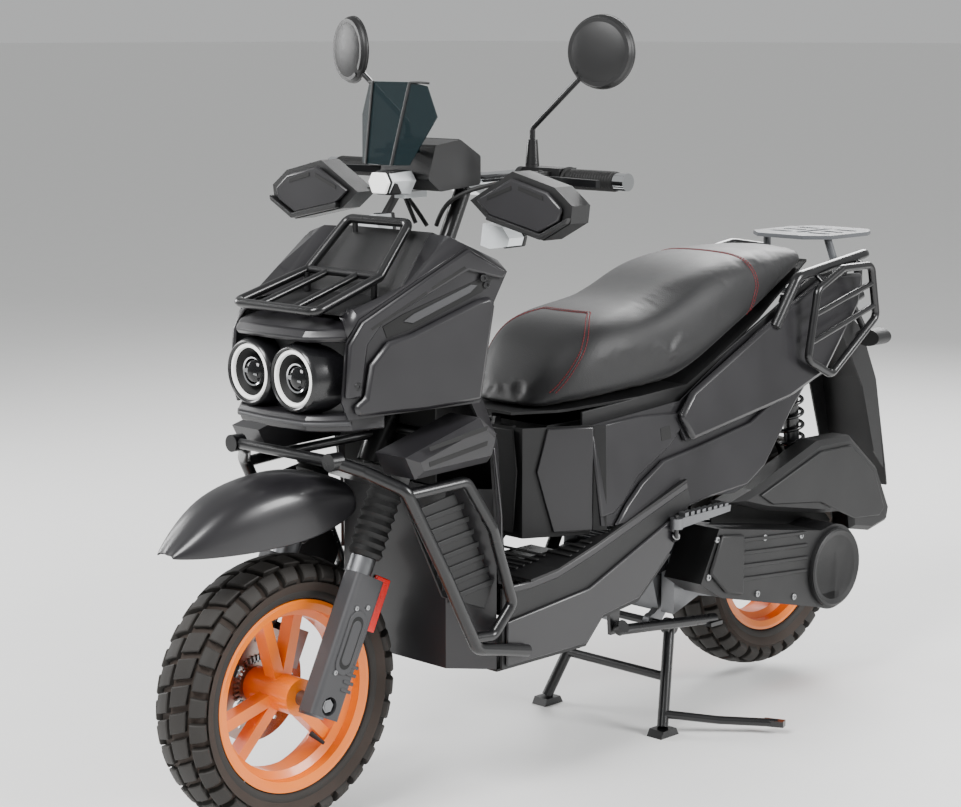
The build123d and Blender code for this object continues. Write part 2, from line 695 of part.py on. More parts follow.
with BuildPart() as storage_pods:
    pod = [(90, 657), (263, 703), (303, 670), (290, 632), (280, 624), (111, 618)]
    slab(pod, 150, 236)
    chamfer(storage_pods.faces().sort_by(Axis.X)[-1].edges(), 14)
    mirror(about=Plane.YZ)
save(storage_pods, "storage_pods")


# ---------------------------------------------------------------- floor and seat body
with BuildPart() as floor_panels:
    floor_line = [(408, 394), (480, 402), (582, 430), (836, 512)]
    slab(strip(floor_line, 5), -FLOOR_HALF, FLOOR_HALF)
    with BuildSketch(level(300)):
        outline([(-114, 484), (114, 484), (181, 606), (197, 620), (197, 900), (-197, 900),
                 (-197, 620), (-181, 606)])
    extrude(amount=400, mode=Mode.SUBTRACT)
    skirt_outline = [(338, 389), (408, 388), (480, 396), (582, 424), (836, 506), (850, 470),
                     (800, 380), (700, 300), (600, 288), (556, 244), (338, 244)]
    for sign in (-1, 1):
        slab(skirt_outline, sign * 198, sign * 203)
    slab([(338, 242), (556, 242), (556, 238), (338, 238)], -190, 190)
    with BuildSketch(side(-230)):
        with Locations((376, 276)):
            Circle(24)
        with Locations((800, 400)):
            Circle(26)
    extrude(amount=460, mode=Mode.SUBTRACT)
save(floor_panels, "floor_panels")

with BuildPart() as seat_pedestal:
    outer_wall = [(-168, 604), (-106, 490), (106, 490), (168, 604)]
    inner_wall = [(164, 606), (104, 494), (-104, 494), (-164, 606)]
    plan(outer_wall + inner_wall, 438, 640)
    plan([(-60, 494), (60, 494), (60, 520), (-60, 520)], 632, 637)
    for sign in (-1, 1):
        slab([(496, 637), (518, 637), (514, 652), (502, 652)], sign * 20, sign * 28)
    barrel(-28, 28, SEAT_HINGE[0], SEAT_HINGE[1], 3)
save(seat_pedestal, "seat_pedestal")

with BuildPart() as rear_panels:
    lean = radians(8.6)
    lean_plane = Plane(origin=(192, AXLE_Y, 450), x_dir=(0, 1, 0),
                       z_dir=(cos(lean), 0, sin(lean)))
    with BuildSketch(lean_plane):
        outline([(610, 190), (868, 206), (1066, 302), (1310, 410), (1440, 410), (1400, 320),
                 (1190, 158), (1080, 34), (1000, 10), (806, 22), (700, -6), (610, 6)])
    extrude(amount=-PANEL)
    with BuildSketch(lean_plane.offset(8)):
        outline([(838, 178), (1120, 316), (1330, 400), (1462, 396), (1440, 330), (1305, 206),
                 (860, 130)])
    extrude(amount=-6)
    mirror(about=Plane.YZ)
save(rear_panels, "rear_panels")

BIN_HALF = 100.0
with BuildPart() as storage_bin:
    bin_outline = [(560, 636), (560, 520), (600, 470), (860, 470), (900, 560), (900, 636)]
    slab(bin_outline, -BIN_HALF, BIN_HALF)
    with BuildSketch(side(-BIN_HALF + SHELL)):
        outline([(563, 640), (563, 521), (602, 473), (858, 473), (897, 561), (897, 640)])
    extrude(amount=2 * (BIN_HALF - SHELL), mode=Mode.SUBTRACT)
save(storage_bin, "storage_bin")


# ---------------------------------------------------------------- seat
SEAT_LOW = [(500, 664), (600, 664), (900, 680), (1124, 780), (1366, 890)]
SEAT_TOP = [(1350, 912), (1180, 915), (1014, 899), (880, 862), (800, 836), (724, 828), (620, 800),
            (536, 746)]
SEAT_PLAN = [(70, 498), (112, 580), (SEAT_HALF, 760), (SEAT_HALF, 960), (138, 1140), (96, 1350)]


def seat_blank(profile, trim):
    """Side profile cut to the seat's outline in plan, less a margin."""
    slab(profile, -SEAT_HALF, SEAT_HALF)
    edge = [(x - trim, y + (trim if y < 500 else 0)) for x, y in SEAT_PLAN]
    plan(edge + [(-x, y) for x, y in reversed(edge)], 500, 1100, mode=Mode.INTERSECT)


with BuildPart() as seat_cushion:
    seat_blank(SEAT_LOW + SEAT_TOP, 0)
save(seat_cushion, "seat_cushion")

with BuildPart() as seat_base:
    base_line = [(a, b - GAP) for a, b in SEAT_LOW]
    seat_blank(strip(base_line, 5), 4)
    slab([(502, 660), (514, 660), (514, 646), (502, 646)], -18, 18)
    barrel(-18, 18, SEAT_HINGE[0], SEAT_HINGE[1], 7)
    barrel(-19, 19, SEAT_HINGE[0], SEAT_HINGE[1], 3 + FIT, mode=Mode.SUBTRACT)
save(seat_base, "seat_base")

# ---------------------------------------------------------------- tail
with BuildPart() as tail_rack:
    with BuildSketch(level(918)):
        outline([(-58, 1380), (58, 1380), (100, 1420), (102, 1550), (84, 1586), (56, 1612),
                 (-56, 1612), (-84, 1586), (-102, 1550), (-100, 1420)])
    extrude(amount=8)
    with BuildSketch(level(918)):
        for row in range(3):
            with Locations((-48, 1450 + row * 48), (48, 1450 + row * 48)):
                SlotOverall(56, 20)
        with Locations(Location((0, 1500), 90)):
            SlotOverall(120, 18)
    extrude(amount=8, mode=Mode.SUBTRACT)
    for sign in (-1, 1):
        rod(at(sign * 78, 1440, 918), at(sign * 100, 1470, 806), 8)
    slab([(1450, 806), (1500, 818), (1500, 812), (1450, 798)], -104, 104)
    rod(at(-120, 1490, 797), at(120, 1490, 797), FRAME_TUBE_R - 3 + GAP, mode=Mode.SUBTRACT)
save(tail_rack, "tail_rack")

with BuildPart() as rear_rails:
    tube([at(166, 1150, 768), at(172, 1212, 862), at(172, 1440, 892), at(122, 1490, 882)],
         11, 24)
    rod(at(122, 1490, 882), at(122, 1490, 815), 9)
    loop = [at(196, 1330, 872), at(196, 1430, 872), at(196, 1452, 764), at(196, 1300, 660),
            at(196, 1220, 698), at(196, 1248, 836), at(196, 1330, 872)]
    tube(loop, RACK_TUBE_R, 18)
    rod(at(196, 1226, 730), at(196, 1449, 790), RACK_TUBE_R - 2)
    rod(at(196, 1236, 785), at(196, 1440, 836), RACK_TUBE_R - 2)
    rod(at(196, 1400, 872), at(166, 1400, 887), RACK_TUBE_R - 2)
    rod(at(196, 1270, 846), at(168, 1270, 869), RACK_TUBE_R - 2)
    mirror(about=Plane.YZ)
save(rear_rails, "rear_rails")

with BuildPart() as rear_lamps:
    slab([(1510, 800), (1572, 830), (1584, 800), (1530, 762)], -70, 70)
    for sign in (-1, 1):
        rod(at(sign * 60, 1548, 786), at(sign * 104, 1548, 714), 7)
        with BuildSketch(cross(1572)):
            with Locations((sign * 124, 706)):
                Ellipse(30, 18)
        extrude(amount=46)
save(rear_lamps, "rear_lamps")

with BuildPart() as rear_fender:
    fender_line = [(1484, 785), (1530, 752), (1580, 716), (1640, 600), (1686, 400), (1694, 360)]
    slab([(a, b) for a, b in fender_line] + [(a - PANEL, b - 2) for a, b in reversed(fender_line)],
         -72, 72)
    for sign in (-1, 1):
        slab([(1484, 784), (1530, 751), (1580, 715), (1640, 599), (1678, 400), (1640, 440),
              (1590, 590), (1520, 700), (1476, 770)], sign * 72, sign * 68)
save(rear_fender, "rear_fender")

# ---------------------------------------------------------------- swing unit
with BuildPart() as engine_case:
    slab([(900, 300), (900, 400), (960, 432), (1030, 400), (1040, 260), (1000, 215), (925, 215)],
         -78, 66)
    slab([(770, 282), (770, 362), (905, 372), (905, 274)], -48, 48)
    for fin in range(6):
        slab([(782 + fin * 18, 270), (788 + fin * 18, 270), (788 + fin * 18, 378),
              (782 + fin * 18, 378)], -58, 58)
    slab([(925, 215), (925, 400), (1010, 392), (1300, 330), (1356, 330), (1376, 262), (1330, 200),
          (1200, 196), (1000, 240)], 72, 104)
    slab([(940, 230), (940, 395), (1040, 380), (1040, 250)], 60, 78)
    slab([(1298, 320), (1338, 320), (1334, 368), (1302, 368)], SHOCK_X - 24, SHOCK_X - 16)
    barrel(SHOCK_X - 24, SHOCK_X + 11, SHOCK_BOTTOM[0], SHOCK_BOTTOM[1], 6)
    barrel(-88, 88, SWING_STATION, SWING_HEIGHT, 18)
    barrel(-89, 89, SWING_STATION, SWING_HEIGHT, 8 + FIT, mode=Mode.SUBTRACT)
    for sign in (-1, 1):
        slab([(885, STAND_HEIGHT), (935, STAND_HEIGHT), (960, 224), (930, 224)], sign * 50,
             sign * 66)
        barrel(sign * 50, sign * 66, STAND_STATION, STAND_HEIGHT, 17)
    barrel(-80, 80, STAND_STATION, STAND_HEIGHT, 8 + FIT, mode=Mode.SUBTRACT)
    barrel(71, 105, WHEELBASE, REAR_AXLE_H, 12 + FIT, mode=Mode.SUBTRACT)
save(engine_case, "engine_case")

PULLEY_X = 126.0
DRIVE_CENTRE = (985.0, 318.0)
with BuildPart() as cvt_cover:
    cover = [(884, 300), (937, 400), (1269, 344), (1311, 350), (1399, 262), (1311, 174), (1184, 204),
             (947, 262)]
    slab(cover, 112, 204)
    barrel(112, 204, COVER_CENTRE[0], COVER_CENTRE[1], COVER_R)
    slab([(892, 302), (940, 394), (1268, 339), (1311, 345), (1394, 262), (1311, 180), (1185, 209),
          (949, 267)], 111, 199, mode=Mode.SUBTRACT)
    barrel(111, 199, COVER_CENTRE[0], COVER_CENTRE[1], COVER_R - PANEL, mode=Mode.SUBTRACT)
    barrel(204, 212, COVER_CENTRE[0], COVER_CENTRE[1], COVER_R - 6)
save(cvt_cover, "cvt_cover")


def pulley(centre, radius, bore):
    """V-belt pulley: two cones with the narrow groove between them."""
    turned([(PULLEY_X, bore), (PULLEY_X, radius), (PULLEY_X + 4, radius), (PULLEY_X + 16, 26),
            (PULLEY_X + 34, 26), (PULLEY_X + 46, radius), (PULLEY_X + 50, radius),
            (PULLEY_X + 50, bore)], centre[0], centre[1])


SHAFT_R = 9.0
with BuildPart() as drive_pulley:
    pulley(DRIVE_CENTRE, 46, SHAFT_R - 2)
    barrel(104.4, PULLEY_X + 60, DRIVE_CENTRE[0], DRIVE_CENTRE[1], SHAFT_R)
    barrel(PULLEY_X + 52, PULLEY_X + 56, DRIVE_CENTRE[0], DRIVE_CENTRE[1], 50)
    barrel(PULLEY_X + 50, PULLEY_X + 52, DRIVE_CENTRE[0], DRIVE_CENTRE[1], 30)
save(drive_pulley, "drive_pulley")

with BuildPart() as clutch_pulley:
    pulley(COVER_CENTRE, 60, SHAFT_R - 2)
    barrel(104.4, PULLEY_X + 66, COVER_CENTRE[0], COVER_CENTRE[1], SHAFT_R)
    barrel(PULLEY_X + 52, PULLEY_X + 64, COVER_CENTRE[0], COVER_CENTRE[1], 56)
    barrel(PULLEY_X + 50, PULLEY_X + 52, COVER_CENTRE[0], COVER_CENTRE[1], 30)
save(clutch_pulley, "clutch_pulley")

with BuildPart() as airbox:
    slab([(1010, 436), (1078, 452), (1290, 522), (1400, 520), (1500, 440), (1548, 350), (1540, 318),
          (1480, 306), (1410, 320), (1404, 360), (1290, 372), (1120, 404)], 132, 182)
    chamfer(airbox.faces().sort_by(Axis.X)[-1].edges(), 10)
save(airbox, "airbox")

with BuildPart() as exhaust:
    tube([at(-30, 790, 269), at(-30, 790, 240), at(-96, 860, 232), at(-146, 960, 240),
          at(-146, 1100, 252)], 14, 26)
    rod(at(-146, 1060, 248), at(-146, 1420, 300), 50)
    rod(at(-146, 1420, 300), at(-146, 1450, 304), 34)
    rod(at(-146, 1445, 303), at(-146, 1490, 308), 12)
    slab([(1030, 280), (1180, 300), (1200, 280), (1040, 250)], -100, -86)
    slab([(1000, 290), (1060, 300), (1060, 262), (1000, 262)], -90, -79)
save(exhaust, "exhaust")

# ---------------------------------------------------------------- shock absorber
SHOCK_AXIS = at(SHOCK_X, *SHOCK_BOTTOM) - at(SHOCK_X, *SHOCK_TOP)
SHOCK_LENGTH = SHOCK_AXIS.length
SPRING_R = 24.0
SPRING_WIRE = 4.0
SPRING_TOP = 44.0
SPRING_END = 292.0
SPRING_TURNS = 9


def shock_plane(along):
    """Sketch plane across the shock absorber, measured down from its upper eye."""
    return Plane(origin=at(SHOCK_X, *SHOCK_TOP) + SHOCK_AXIS.normalized() * along,
                 x_dir=(1, 0, 0), z_dir=SHOCK_AXIS)


def shock_disc(along, length, radius, mode=Mode.ADD):
    """A disc or bar on the shock absorber's axis."""
    post(shock_plane(along), radius, length, mode=mode)


with BuildPart() as shock_body:
    barrel(SHOCK_X - 13, SHOCK_X + 13, SHOCK_TOP[0], SHOCK_TOP[1], 14)
    shock_disc(6, 190, 16)
    shock_disc(SPRING_TOP - 6, 6, 31)
    shock_disc(100, 100, 7 + FIT, mode=Mode.SUBTRACT)
    barrel(SHOCK_X - 14, SHOCK_X + 14, SHOCK_TOP[0], SHOCK_TOP[1], 6 + FIT, mode=Mode.SUBTRACT)
save(shock_body, "shock_body")

with BuildPart() as shock_rod:
    barrel(SHOCK_X - 11, SHOCK_X + 11, SHOCK_BOTTOM[0], SHOCK_BOTTOM[1], 14)
    shock_disc(180, SHOCK_LENGTH - 190, 7)
    shock_disc(SPRING_END, 6, 31)
    barrel(SHOCK_X - 12, SHOCK_X + 12, SHOCK_BOTTOM[0], SHOCK_BOTTOM[1], 6 + PIVOT_GAP,
           mode=Mode.SUBTRACT)
save(shock_rod, "shock_rod")

with BuildPart() as shock_spring:
    spring_length = SPRING_END - SPRING_TOP - 2 * SPRING_WIRE - 2
    coil_start = shock_plane(SPRING_TOP + SPRING_WIRE + 1)
    with BuildLine() as coil:
        Helix(spring_length / SPRING_TURNS, spring_length, SPRING_R, center=coil_start.origin,
              direction=tuple(SHOCK_AXIS))
    with BuildSketch(Plane(origin=coil.line @ 0, z_dir=coil.line % 0)):
        Circle(SPRING_WIRE)
    sweep(path=coil.line, is_frenet=True)
save(shock_spring, "shock_spring")

# ---------------------------------------------------------------- stands and pegs
with BuildPart() as centre_stand:
    barrel(-112, 112, STAND_STATION, STAND_HEIGHT, 8)
    for sign in (-1, 1):
        barrel(sign * 96, sign * 116, STAND_STATION, STAND_HEIGHT, 16)
        rod(at(sign * 106, STAND_STATION, STAND_HEIGHT), at(sign * 152, 838, 16), STAND_TUBE_R)
        slab([(812, 0), (866, 0), (858, 14), (820, 14)], sign * 134, sign * 170)
    rod(at(-128, 874, 104), at(128, 874, 104), STAND_TUBE_R - 2)
    tube([at(150, 846, 40), at(220, 924, 26), at(306, 1000, 22)], STAND_TUBE_R - 3, 60)
    plan([(286, 978), (322, 996), (316, 1012), (278, 996)], 16, 28)
save(centre_stand, "centre_stand")

SIDE_STAND = (715.0, 233.0)
SIDE_STAND_X = 150.0
with BuildPart() as side_stand:
    splay = Vector(0.85, 0, 0.53)
    with BuildSketch(Plane(origin=at(SIDE_STAND_X - 7, *SIDE_STAND), z_dir=splay)):
        Circle(13)
    extrude(amount=16)
    rod(at(SIDE_STAND_X, SIDE_STAND[0] + 4, SIDE_STAND[1]), at(SIDE_STAND_X + 2, 992, 204), 10)
    plan([(134, 968), (164, 968), (164, 1004), (134, 1004)], 192, 200)
save(side_stand, "side_stand")


def passenger_peg(sign):
    """Folding footrest with its hinge bracket and serrated top."""
    rod(at(sign * PEG_X, PEG_PIVOT, 426), at(sign * PEG_X, PEG_PIVOT, 446), 12)
    slab([(PEG_PIVOT, 427), (PEG_PIVOT + 150, 438), (PEG_PIVOT + 152, 450), (PEG_PIVOT, 446)],
         sign * (PEG_X - 9), sign * (PEG_X + 9))
    for tooth in range(8):
        start = PEG_PIVOT + 16 + tooth * 17
        slab([(start, 444), (start + 10, 444), (start + 10, 455), (start, 454)],
             sign * (PEG_X - 8), sign * (PEG_X + 8))
    rod(at(sign * PEG_X, PEG_PIVOT, 420), at(sign * PEG_X, PEG_PIVOT, 450), 4 + FIT,
        mode=Mode.SUBTRACT)


with BuildPart() as passenger_peg_left:
    passenger_peg(1)
save(passenger_peg_left, "passenger_peg_left")

with BuildPart() as passenger_peg_right:
    passenger_peg(-1)
save(passenger_peg_right, "passenger_peg_right")
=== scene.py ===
# %% [markdown]
# # A step-through scooter, finished for rendering
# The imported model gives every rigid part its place. This lesson gives each part its real
# finish, swaps the plain seat for a stuffed one, and adds the small pieces that make the
# scooter read as a real machine: tread blocks, lamp rings, seams, screws, vents and ribs.

# %% Load the frame
import math

import bpy
import bmesh
from mathutils import Matrix, Vector
from mathutils.bvhtree import BVHTree


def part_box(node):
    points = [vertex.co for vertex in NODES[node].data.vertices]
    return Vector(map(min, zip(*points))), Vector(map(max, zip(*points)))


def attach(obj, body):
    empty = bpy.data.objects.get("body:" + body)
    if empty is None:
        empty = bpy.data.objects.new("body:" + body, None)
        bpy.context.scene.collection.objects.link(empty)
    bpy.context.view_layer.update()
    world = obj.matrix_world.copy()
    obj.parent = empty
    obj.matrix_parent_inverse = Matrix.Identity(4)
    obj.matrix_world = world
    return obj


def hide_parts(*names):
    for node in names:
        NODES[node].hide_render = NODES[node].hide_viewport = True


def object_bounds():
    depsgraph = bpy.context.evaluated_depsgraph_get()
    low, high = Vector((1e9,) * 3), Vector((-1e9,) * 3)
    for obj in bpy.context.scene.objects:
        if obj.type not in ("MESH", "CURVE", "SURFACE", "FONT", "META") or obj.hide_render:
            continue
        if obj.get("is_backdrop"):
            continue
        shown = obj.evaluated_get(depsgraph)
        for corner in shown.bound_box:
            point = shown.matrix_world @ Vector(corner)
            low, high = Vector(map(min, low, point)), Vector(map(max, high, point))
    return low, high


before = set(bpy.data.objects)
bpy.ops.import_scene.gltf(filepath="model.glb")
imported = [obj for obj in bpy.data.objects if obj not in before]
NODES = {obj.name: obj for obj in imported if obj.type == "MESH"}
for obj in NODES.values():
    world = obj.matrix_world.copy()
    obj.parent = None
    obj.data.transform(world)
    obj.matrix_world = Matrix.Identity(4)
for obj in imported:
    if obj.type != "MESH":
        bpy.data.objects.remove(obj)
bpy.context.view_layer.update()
print("parts loaded:", len(NODES))

# %% [markdown]
# ## Places and small builders
# Places are given in millimetres back from the front axle, so one function turns
# (across, back, up) into metres in the model's frame. The fork leans back 26 degrees, and a
# second function measures along it.

# %% Places
AXLE_BACK = 728.0
FRONT_AXLE_UP = 236.5
RAKE = math.radians(26)
FORK_UP = Vector((0, math.sin(RAKE), math.cos(RAKE)))
FORK_BACK = Vector((0, math.cos(RAKE), -math.sin(RAKE)))


def at(across, back, up):
    """A point from millimetres across, back from the front axle, and up."""
    return Vector((across, back - AXLE_BACK, up)) / 1000


def on_fork(across, along, behind):
    """A point given along the leaning fork leg, in millimetres from the axle."""
    return at(across, 0, FRONT_AXLE_UP) + (FORK_UP * along + FORK_BACK * behind) / 1000


def linear(hex_colour):
    """An sRGB hex value as the linear colour that shaders take."""
    parts = [int(hex_colour[i:i + 2], 16) / 255 for i in (0, 2, 4)]
    return [p / 12.92 if p <= 0.04045 else ((p + 0.055) / 1.055) ** 2.4 for p in parts] + [1.0]


# %% [markdown]
# Mesh builders: a plate cut from an outline and given a thickness along a direction, a turned
# piece, and a lofted skin through rings of points. Each keeps its place in its own vertices.

# %% Mesh builders
def in_scene(name, data):
    """A new object in the scene, at the origin."""
    holder = bpy.data.objects.new(name, data)
    bpy.context.scene.collection.objects.link(holder)
    return holder


def shade_smooth(mesh, sharp_over=None):
    """Smooth shading on every face, with edges over an angle in degrees kept sharp."""
    mesh.polygons.foreach_set("use_smooth", [True] * len(mesh.polygons))
    if sharp_over:
        mesh.set_sharp_from_angle(angle=math.radians(sharp_over))


def plain_mesh(piece):
    """The mesh that an object shows once its modifiers or its curve are worked out."""
    graph = bpy.context.evaluated_depsgraph_get()
    return bpy.data.meshes.new_from_object(piece.evaluated_get(graph))


def only_finish(mesh, finish):
    """Gives a mesh one finish in place of any others."""
    mesh.materials.clear()
    mesh.materials.append(finish)


def finish_mesh(name, bm, finish, smooth=40):
    """A closed, outward-facing object from a bmesh, shaded smooth up to an angle."""
    bmesh.ops.remove_doubles(bm, verts=bm.verts, dist=1e-6)
    bmesh.ops.recalc_face_normals(bm, faces=bm.faces)
    mesh = bpy.data.meshes.new(name)
    bm.to_mesh(mesh)
    bm.free()
    mesh.materials.append(finish)
    if smooth:
        shade_smooth(mesh, smooth)
    return in_scene(name, mesh)


def bevelled(piece, width, segments=2):
    """Rounds the piece's edges by a width in millimetres."""
    edge = piece.modifiers.new("rounded edges", "BEVEL")
    edge.width = width / 1000
    edge.segments = segments
    edge.limit_method = "ANGLE"
    edge.angle_limit = math.radians(35)
    edge.use_clamp_overlap = True
    return piece


def plate(name, finish, points, thickness, push, bevel=0.0, smooth=40):
    """A flat plate through the given points, thickened along push, in millimetres."""
    bm = bmesh.new()
    near = [bm.verts.new(p) for p in points]
    far = [bm.verts.new(p + Vector(push).normalized() * thickness / 1000) for p in points]
    bm.faces.new(near)
    bm.faces.new(list(reversed(far)))
    for i in range(len(near)):
        j = (i + 1) % len(near)
        bm.faces.new((near[i], near[j], far[j], far[i]))
    piece = finish_mesh(name, bm, finish, smooth)
    return bevelled(piece, bevel) if bevel else piece


def turned(name, finish, profile, centre, axis, steps=64, closed=False, smooth=40):
    """A lathe piece: profile holds (along, radius) in millimetres on an axis through centre."""
    turn = Vector((0, 0, 1)).rotation_difference(Vector(axis).normalized()).to_matrix()
    bm = bmesh.new()
    rings = []
    for along, radius in profile:
        ring = []
        for k in range(steps):
            angle = 2 * math.pi * k / steps
            local = Vector((radius * math.cos(angle), radius * math.sin(angle), along)) / 1000
            ring.append(bm.verts.new(centre + turn @ local))
        rings.append(ring)
    pairs = list(zip(rings, rings[1:])) + ([(rings[-1], rings[0])] if closed else [])
    for low, high in pairs:
        for k in range(steps):
            m = (k + 1) % steps
            bm.faces.new((low[k], low[m], high[m], high[k]))
    if not closed:
        bm.faces.new(rings[0])
        bm.faces.new(rings[-1])
    return finish_mesh(name, bm, finish, smooth)


def loft(name, finish, rings, smooth=40):
    """A closed skin through rings with the same number of points."""
    bm = bmesh.new()
    made = [[bm.verts.new(p) for p in ring] for ring in rings]
    for low, high in zip(made, made[1:]):
        for k in range(len(low)):
            m = (k + 1) % len(low)
            bm.faces.new((low[k], low[m], high[m], high[k]))
    bm.faces.new(made[0])
    bm.faces.new(made[-1])
    return finish_mesh(name, bm, finish, smooth)


def pipe(name, finish, points, radius, cyclic=False):
    """A round tube along a smooth line through control points."""
    curve = bpy.data.curves.new(name, "CURVE")
    curve.dimensions = "3D"
    line = curve.splines.new("NURBS")
    line.points.add(len(points) - 1)
    for spot, p in zip(line.points, points):
        spot.co = (*p, 1)
    line.order_u = 3
    line.use_endpoint_u = not cyclic
    line.use_cyclic_u = cyclic
    curve.bevel_depth = radius / 1000
    curve.bevel_resolution = 3
    curve.use_fill_caps = True
    holder = in_scene(name, curve)
    mesh = plain_mesh(holder)
    bpy.data.objects.remove(holder)
    only_finish(mesh, finish)
    shade_smooth(mesh)
    return in_scene(name, mesh)


def other_side(piece, name, body):
    """A mirror copy of a piece across the scooter's centre plane."""
    twin = in_scene(name, piece.data.copy())
    twin.data.transform(Matrix.Scale(-1, 4, (1, 0, 0)))
    twin.data.flip_normals()
    for mod in piece.modifiers:
        bevelled(twin, mod.width * 1000, mod.segments)
    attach(twin, body)


def fixed_plate(body, *plate_values):
    """A plate that rides on a body."""
    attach(plate(*plate_values), body)


def both_sides(name, finish, points, thickness, push, bevel, body="chassis"):
    """A plate on the left with its mirror copy on the right, both on one body."""
    piece = plate(name + "_left", finish, points, thickness, push, bevel)
    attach(piece, body)
    other_side(piece, name + "_right", body)


# %% [markdown]
# ## Finishes
# Every material starts from the real one. Moulded plastics differ mostly in the grain of the
# mould, so their bump is a fine noise at the grain's true size, drawn a little coarser so that
# it shows. Paints are smooth with a clear coat; rubber is rough and slightly brown with dust.

# %% Helpers for nodes
def add(tree, kind, inputs=None, **settings):
    """Adds one node to a shader or geometry tree with its settings, values and links."""
    made = tree.nodes.new(kind)
    for key, value in settings.items():
        setattr(made, key, value)
    for key, value in (inputs or {}).items():
        if isinstance(value, bpy.types.NodeSocket):
            tree.links.new(value, made.inputs[key])
        else:
            made.inputs[key].default_value = value
    return made


def new_finish(name):
    """An empty material with its tree, surface shader and object coordinates."""
    material = bpy.data.materials.new(name)
    material.use_nodes = True
    tree = material.node_tree
    shader = tree.nodes["Principled BSDF"]
    return material, tree, shader, add(tree, "ShaderNodeTexCoord").outputs["Object"]


def set_surface(tree, shader, links, **values):
    """Links sockets to the surface shader's inputs and sets its plain values."""
    for label, socket in links.items():
        tree.links.new(socket, shader.inputs[label])
    for label, value in values.items():
        shader.inputs[label.replace("_", " ")].default_value = value


def gloss_range(tree, source, low, high):
    """Roughness that runs from low to high with a pattern."""
    spread = add(tree, "ShaderNodeMapRange", {"Value": source, "To Min": low, "To Max": high})
    return spread.outputs["Result"]


def grained(name, colour, worn, roughness, spread, grain_mm, bump, coat=0.0, metal=0.0, ior=1.5):
    """A finish with fine surface grain and slow changes of tone and gloss."""
    material, tree, shader, place = new_finish(name)
    slow = add(tree, "ShaderNodeTexNoise", {"Vector": place, "Scale": 9.0, "Detail": 4.0})
    fine = add(tree, "ShaderNodeTexNoise",
               {"Vector": place, "Scale": 1000 / grain_mm, "Detail": 2.0})
    tone = add(tree, "ShaderNodeMix", {"Factor": slow.outputs["Fac"]}, data_type="RGBA")
    tone.inputs[6].default_value = linear(colour)
    tone.inputs[7].default_value = linear(worn)
    gloss = add(tree, "ShaderNodeMapRange",
                {"Value": slow.outputs["Fac"], "From Min": 0.3, "From Max": 0.7,
                 "To Min": roughness - spread, "To Max": roughness + spread})
    relief = add(tree, "ShaderNodeBump",
                 {"Height": fine.outputs["Fac"], "Strength": bump, "Distance": 0.0004})
    set_surface(tree, shader, {"Base Color": tone.outputs[2],
                               "Roughness": gloss.outputs["Result"],
                               "Normal": relief.outputs["Normal"]},
                Coat_Weight=coat, Coat_Roughness=0.12, Metallic=metal, IOR=ior)
    return material


# %% Plastics
# Painted ABS body shells: satin charcoal with a soft, wide highlight.
SATIN_ABS = grained("satin_painted_abs", "1a191b", "201f22", 0.36, 0.04, 1.2, 0.04, coat=0.2)
# Moulded polypropylene trim: near black, spark-eroded grain.
GRAINED_PP = grained("grained_polypropylene", "0c0c0d", "131314", 0.5, 0.06, 0.9, 0.35)
# Near-black plastic, darker than the trim. Its darkness is painted shade on the vent, slots,
# pressed lines, screw hollow, sunken guard panels, heat-shield cuts and the sheet behind the
# nose; the lamp bowls and the hugger use it as well.
SHADE_DARK_PP = grained("painted_shade_dark_plastic", "060606", "0a0a0a", 0.7, 0.05, 1.0, 0.2)
# Mid-grey moulded fork guards.
GREY_PP = grained("grey_fork_guard_plastic", "343436", "3d3d3f", 0.5, 0.05, 0.8, 0.3)
# Satin charcoal with a slightly glossier moulding, for the lamp face.
FACE_ABS = grained("lamp_face_abs", "0e0e10", "141416", 0.28, 0.04, 1.4, 0.04, coat=0.25)

# %% Rubber and vinyl
TYRE_RUBBER = grained("tyre_rubber", "1c1a18", "2a2622", 0.72, 0.08, 1.5, 0.5)
GROOVE_RUBBER = grained("dusty_groove_rubber", "3a2f28", "2a2420", 0.85, 0.05, 2.0, 0.5)
SOFT_RUBBER = grained("moulded_rubber", "0d0d0d", "151515", 0.62, 0.06, 0.8, 0.3)

# %% Paints and metals
ORANGE_COAT = grained("orange_powder_coat", "f07400", "f47e04", 0.34, 0.04, 0.7, 0.12, coat=0.3)
BLACK_COAT = grained("black_powder_coat", "0b0b0c", "111113", 0.3, 0.05, 0.6, 0.15, coat=0.25)
SILVER_COAT = grained("silver_grey_powder_coat", "5a5c5f", "505255", 0.42, 0.05, 0.6, 0.12)
CHROME = grained("chrome_plate", "d8dadc", "c8cacc", 0.1, 0.03, 3.0, 0.02, metal=1.0)
ZINC = grained("zinc_plated_steel", "a8a9aa", "8f9091", 0.32, 0.08, 1.5, 0.1, metal=1.0)
CAST_ALLOY = grained("cast_aluminium", "8b8c8e", "6f7072", 0.45, 0.08, 1.1, 0.4, metal=1.0)
DISC_STEEL = grained("ground_disc_steel", "8a7b74", "a08e86", 0.28, 0.06, 1.2, 0.15, metal=1.0)
SPRING_COAT = grained("spring_enamel", "0a0a0b", "101012", 0.25, 0.04, 1.0, 0.05, coat=0.3)

# %% [markdown]
# The seat cover is grained vinyl. Its pebble comes from a cell pattern about 2 mm across,
# which creases the surface between rounded bumps.

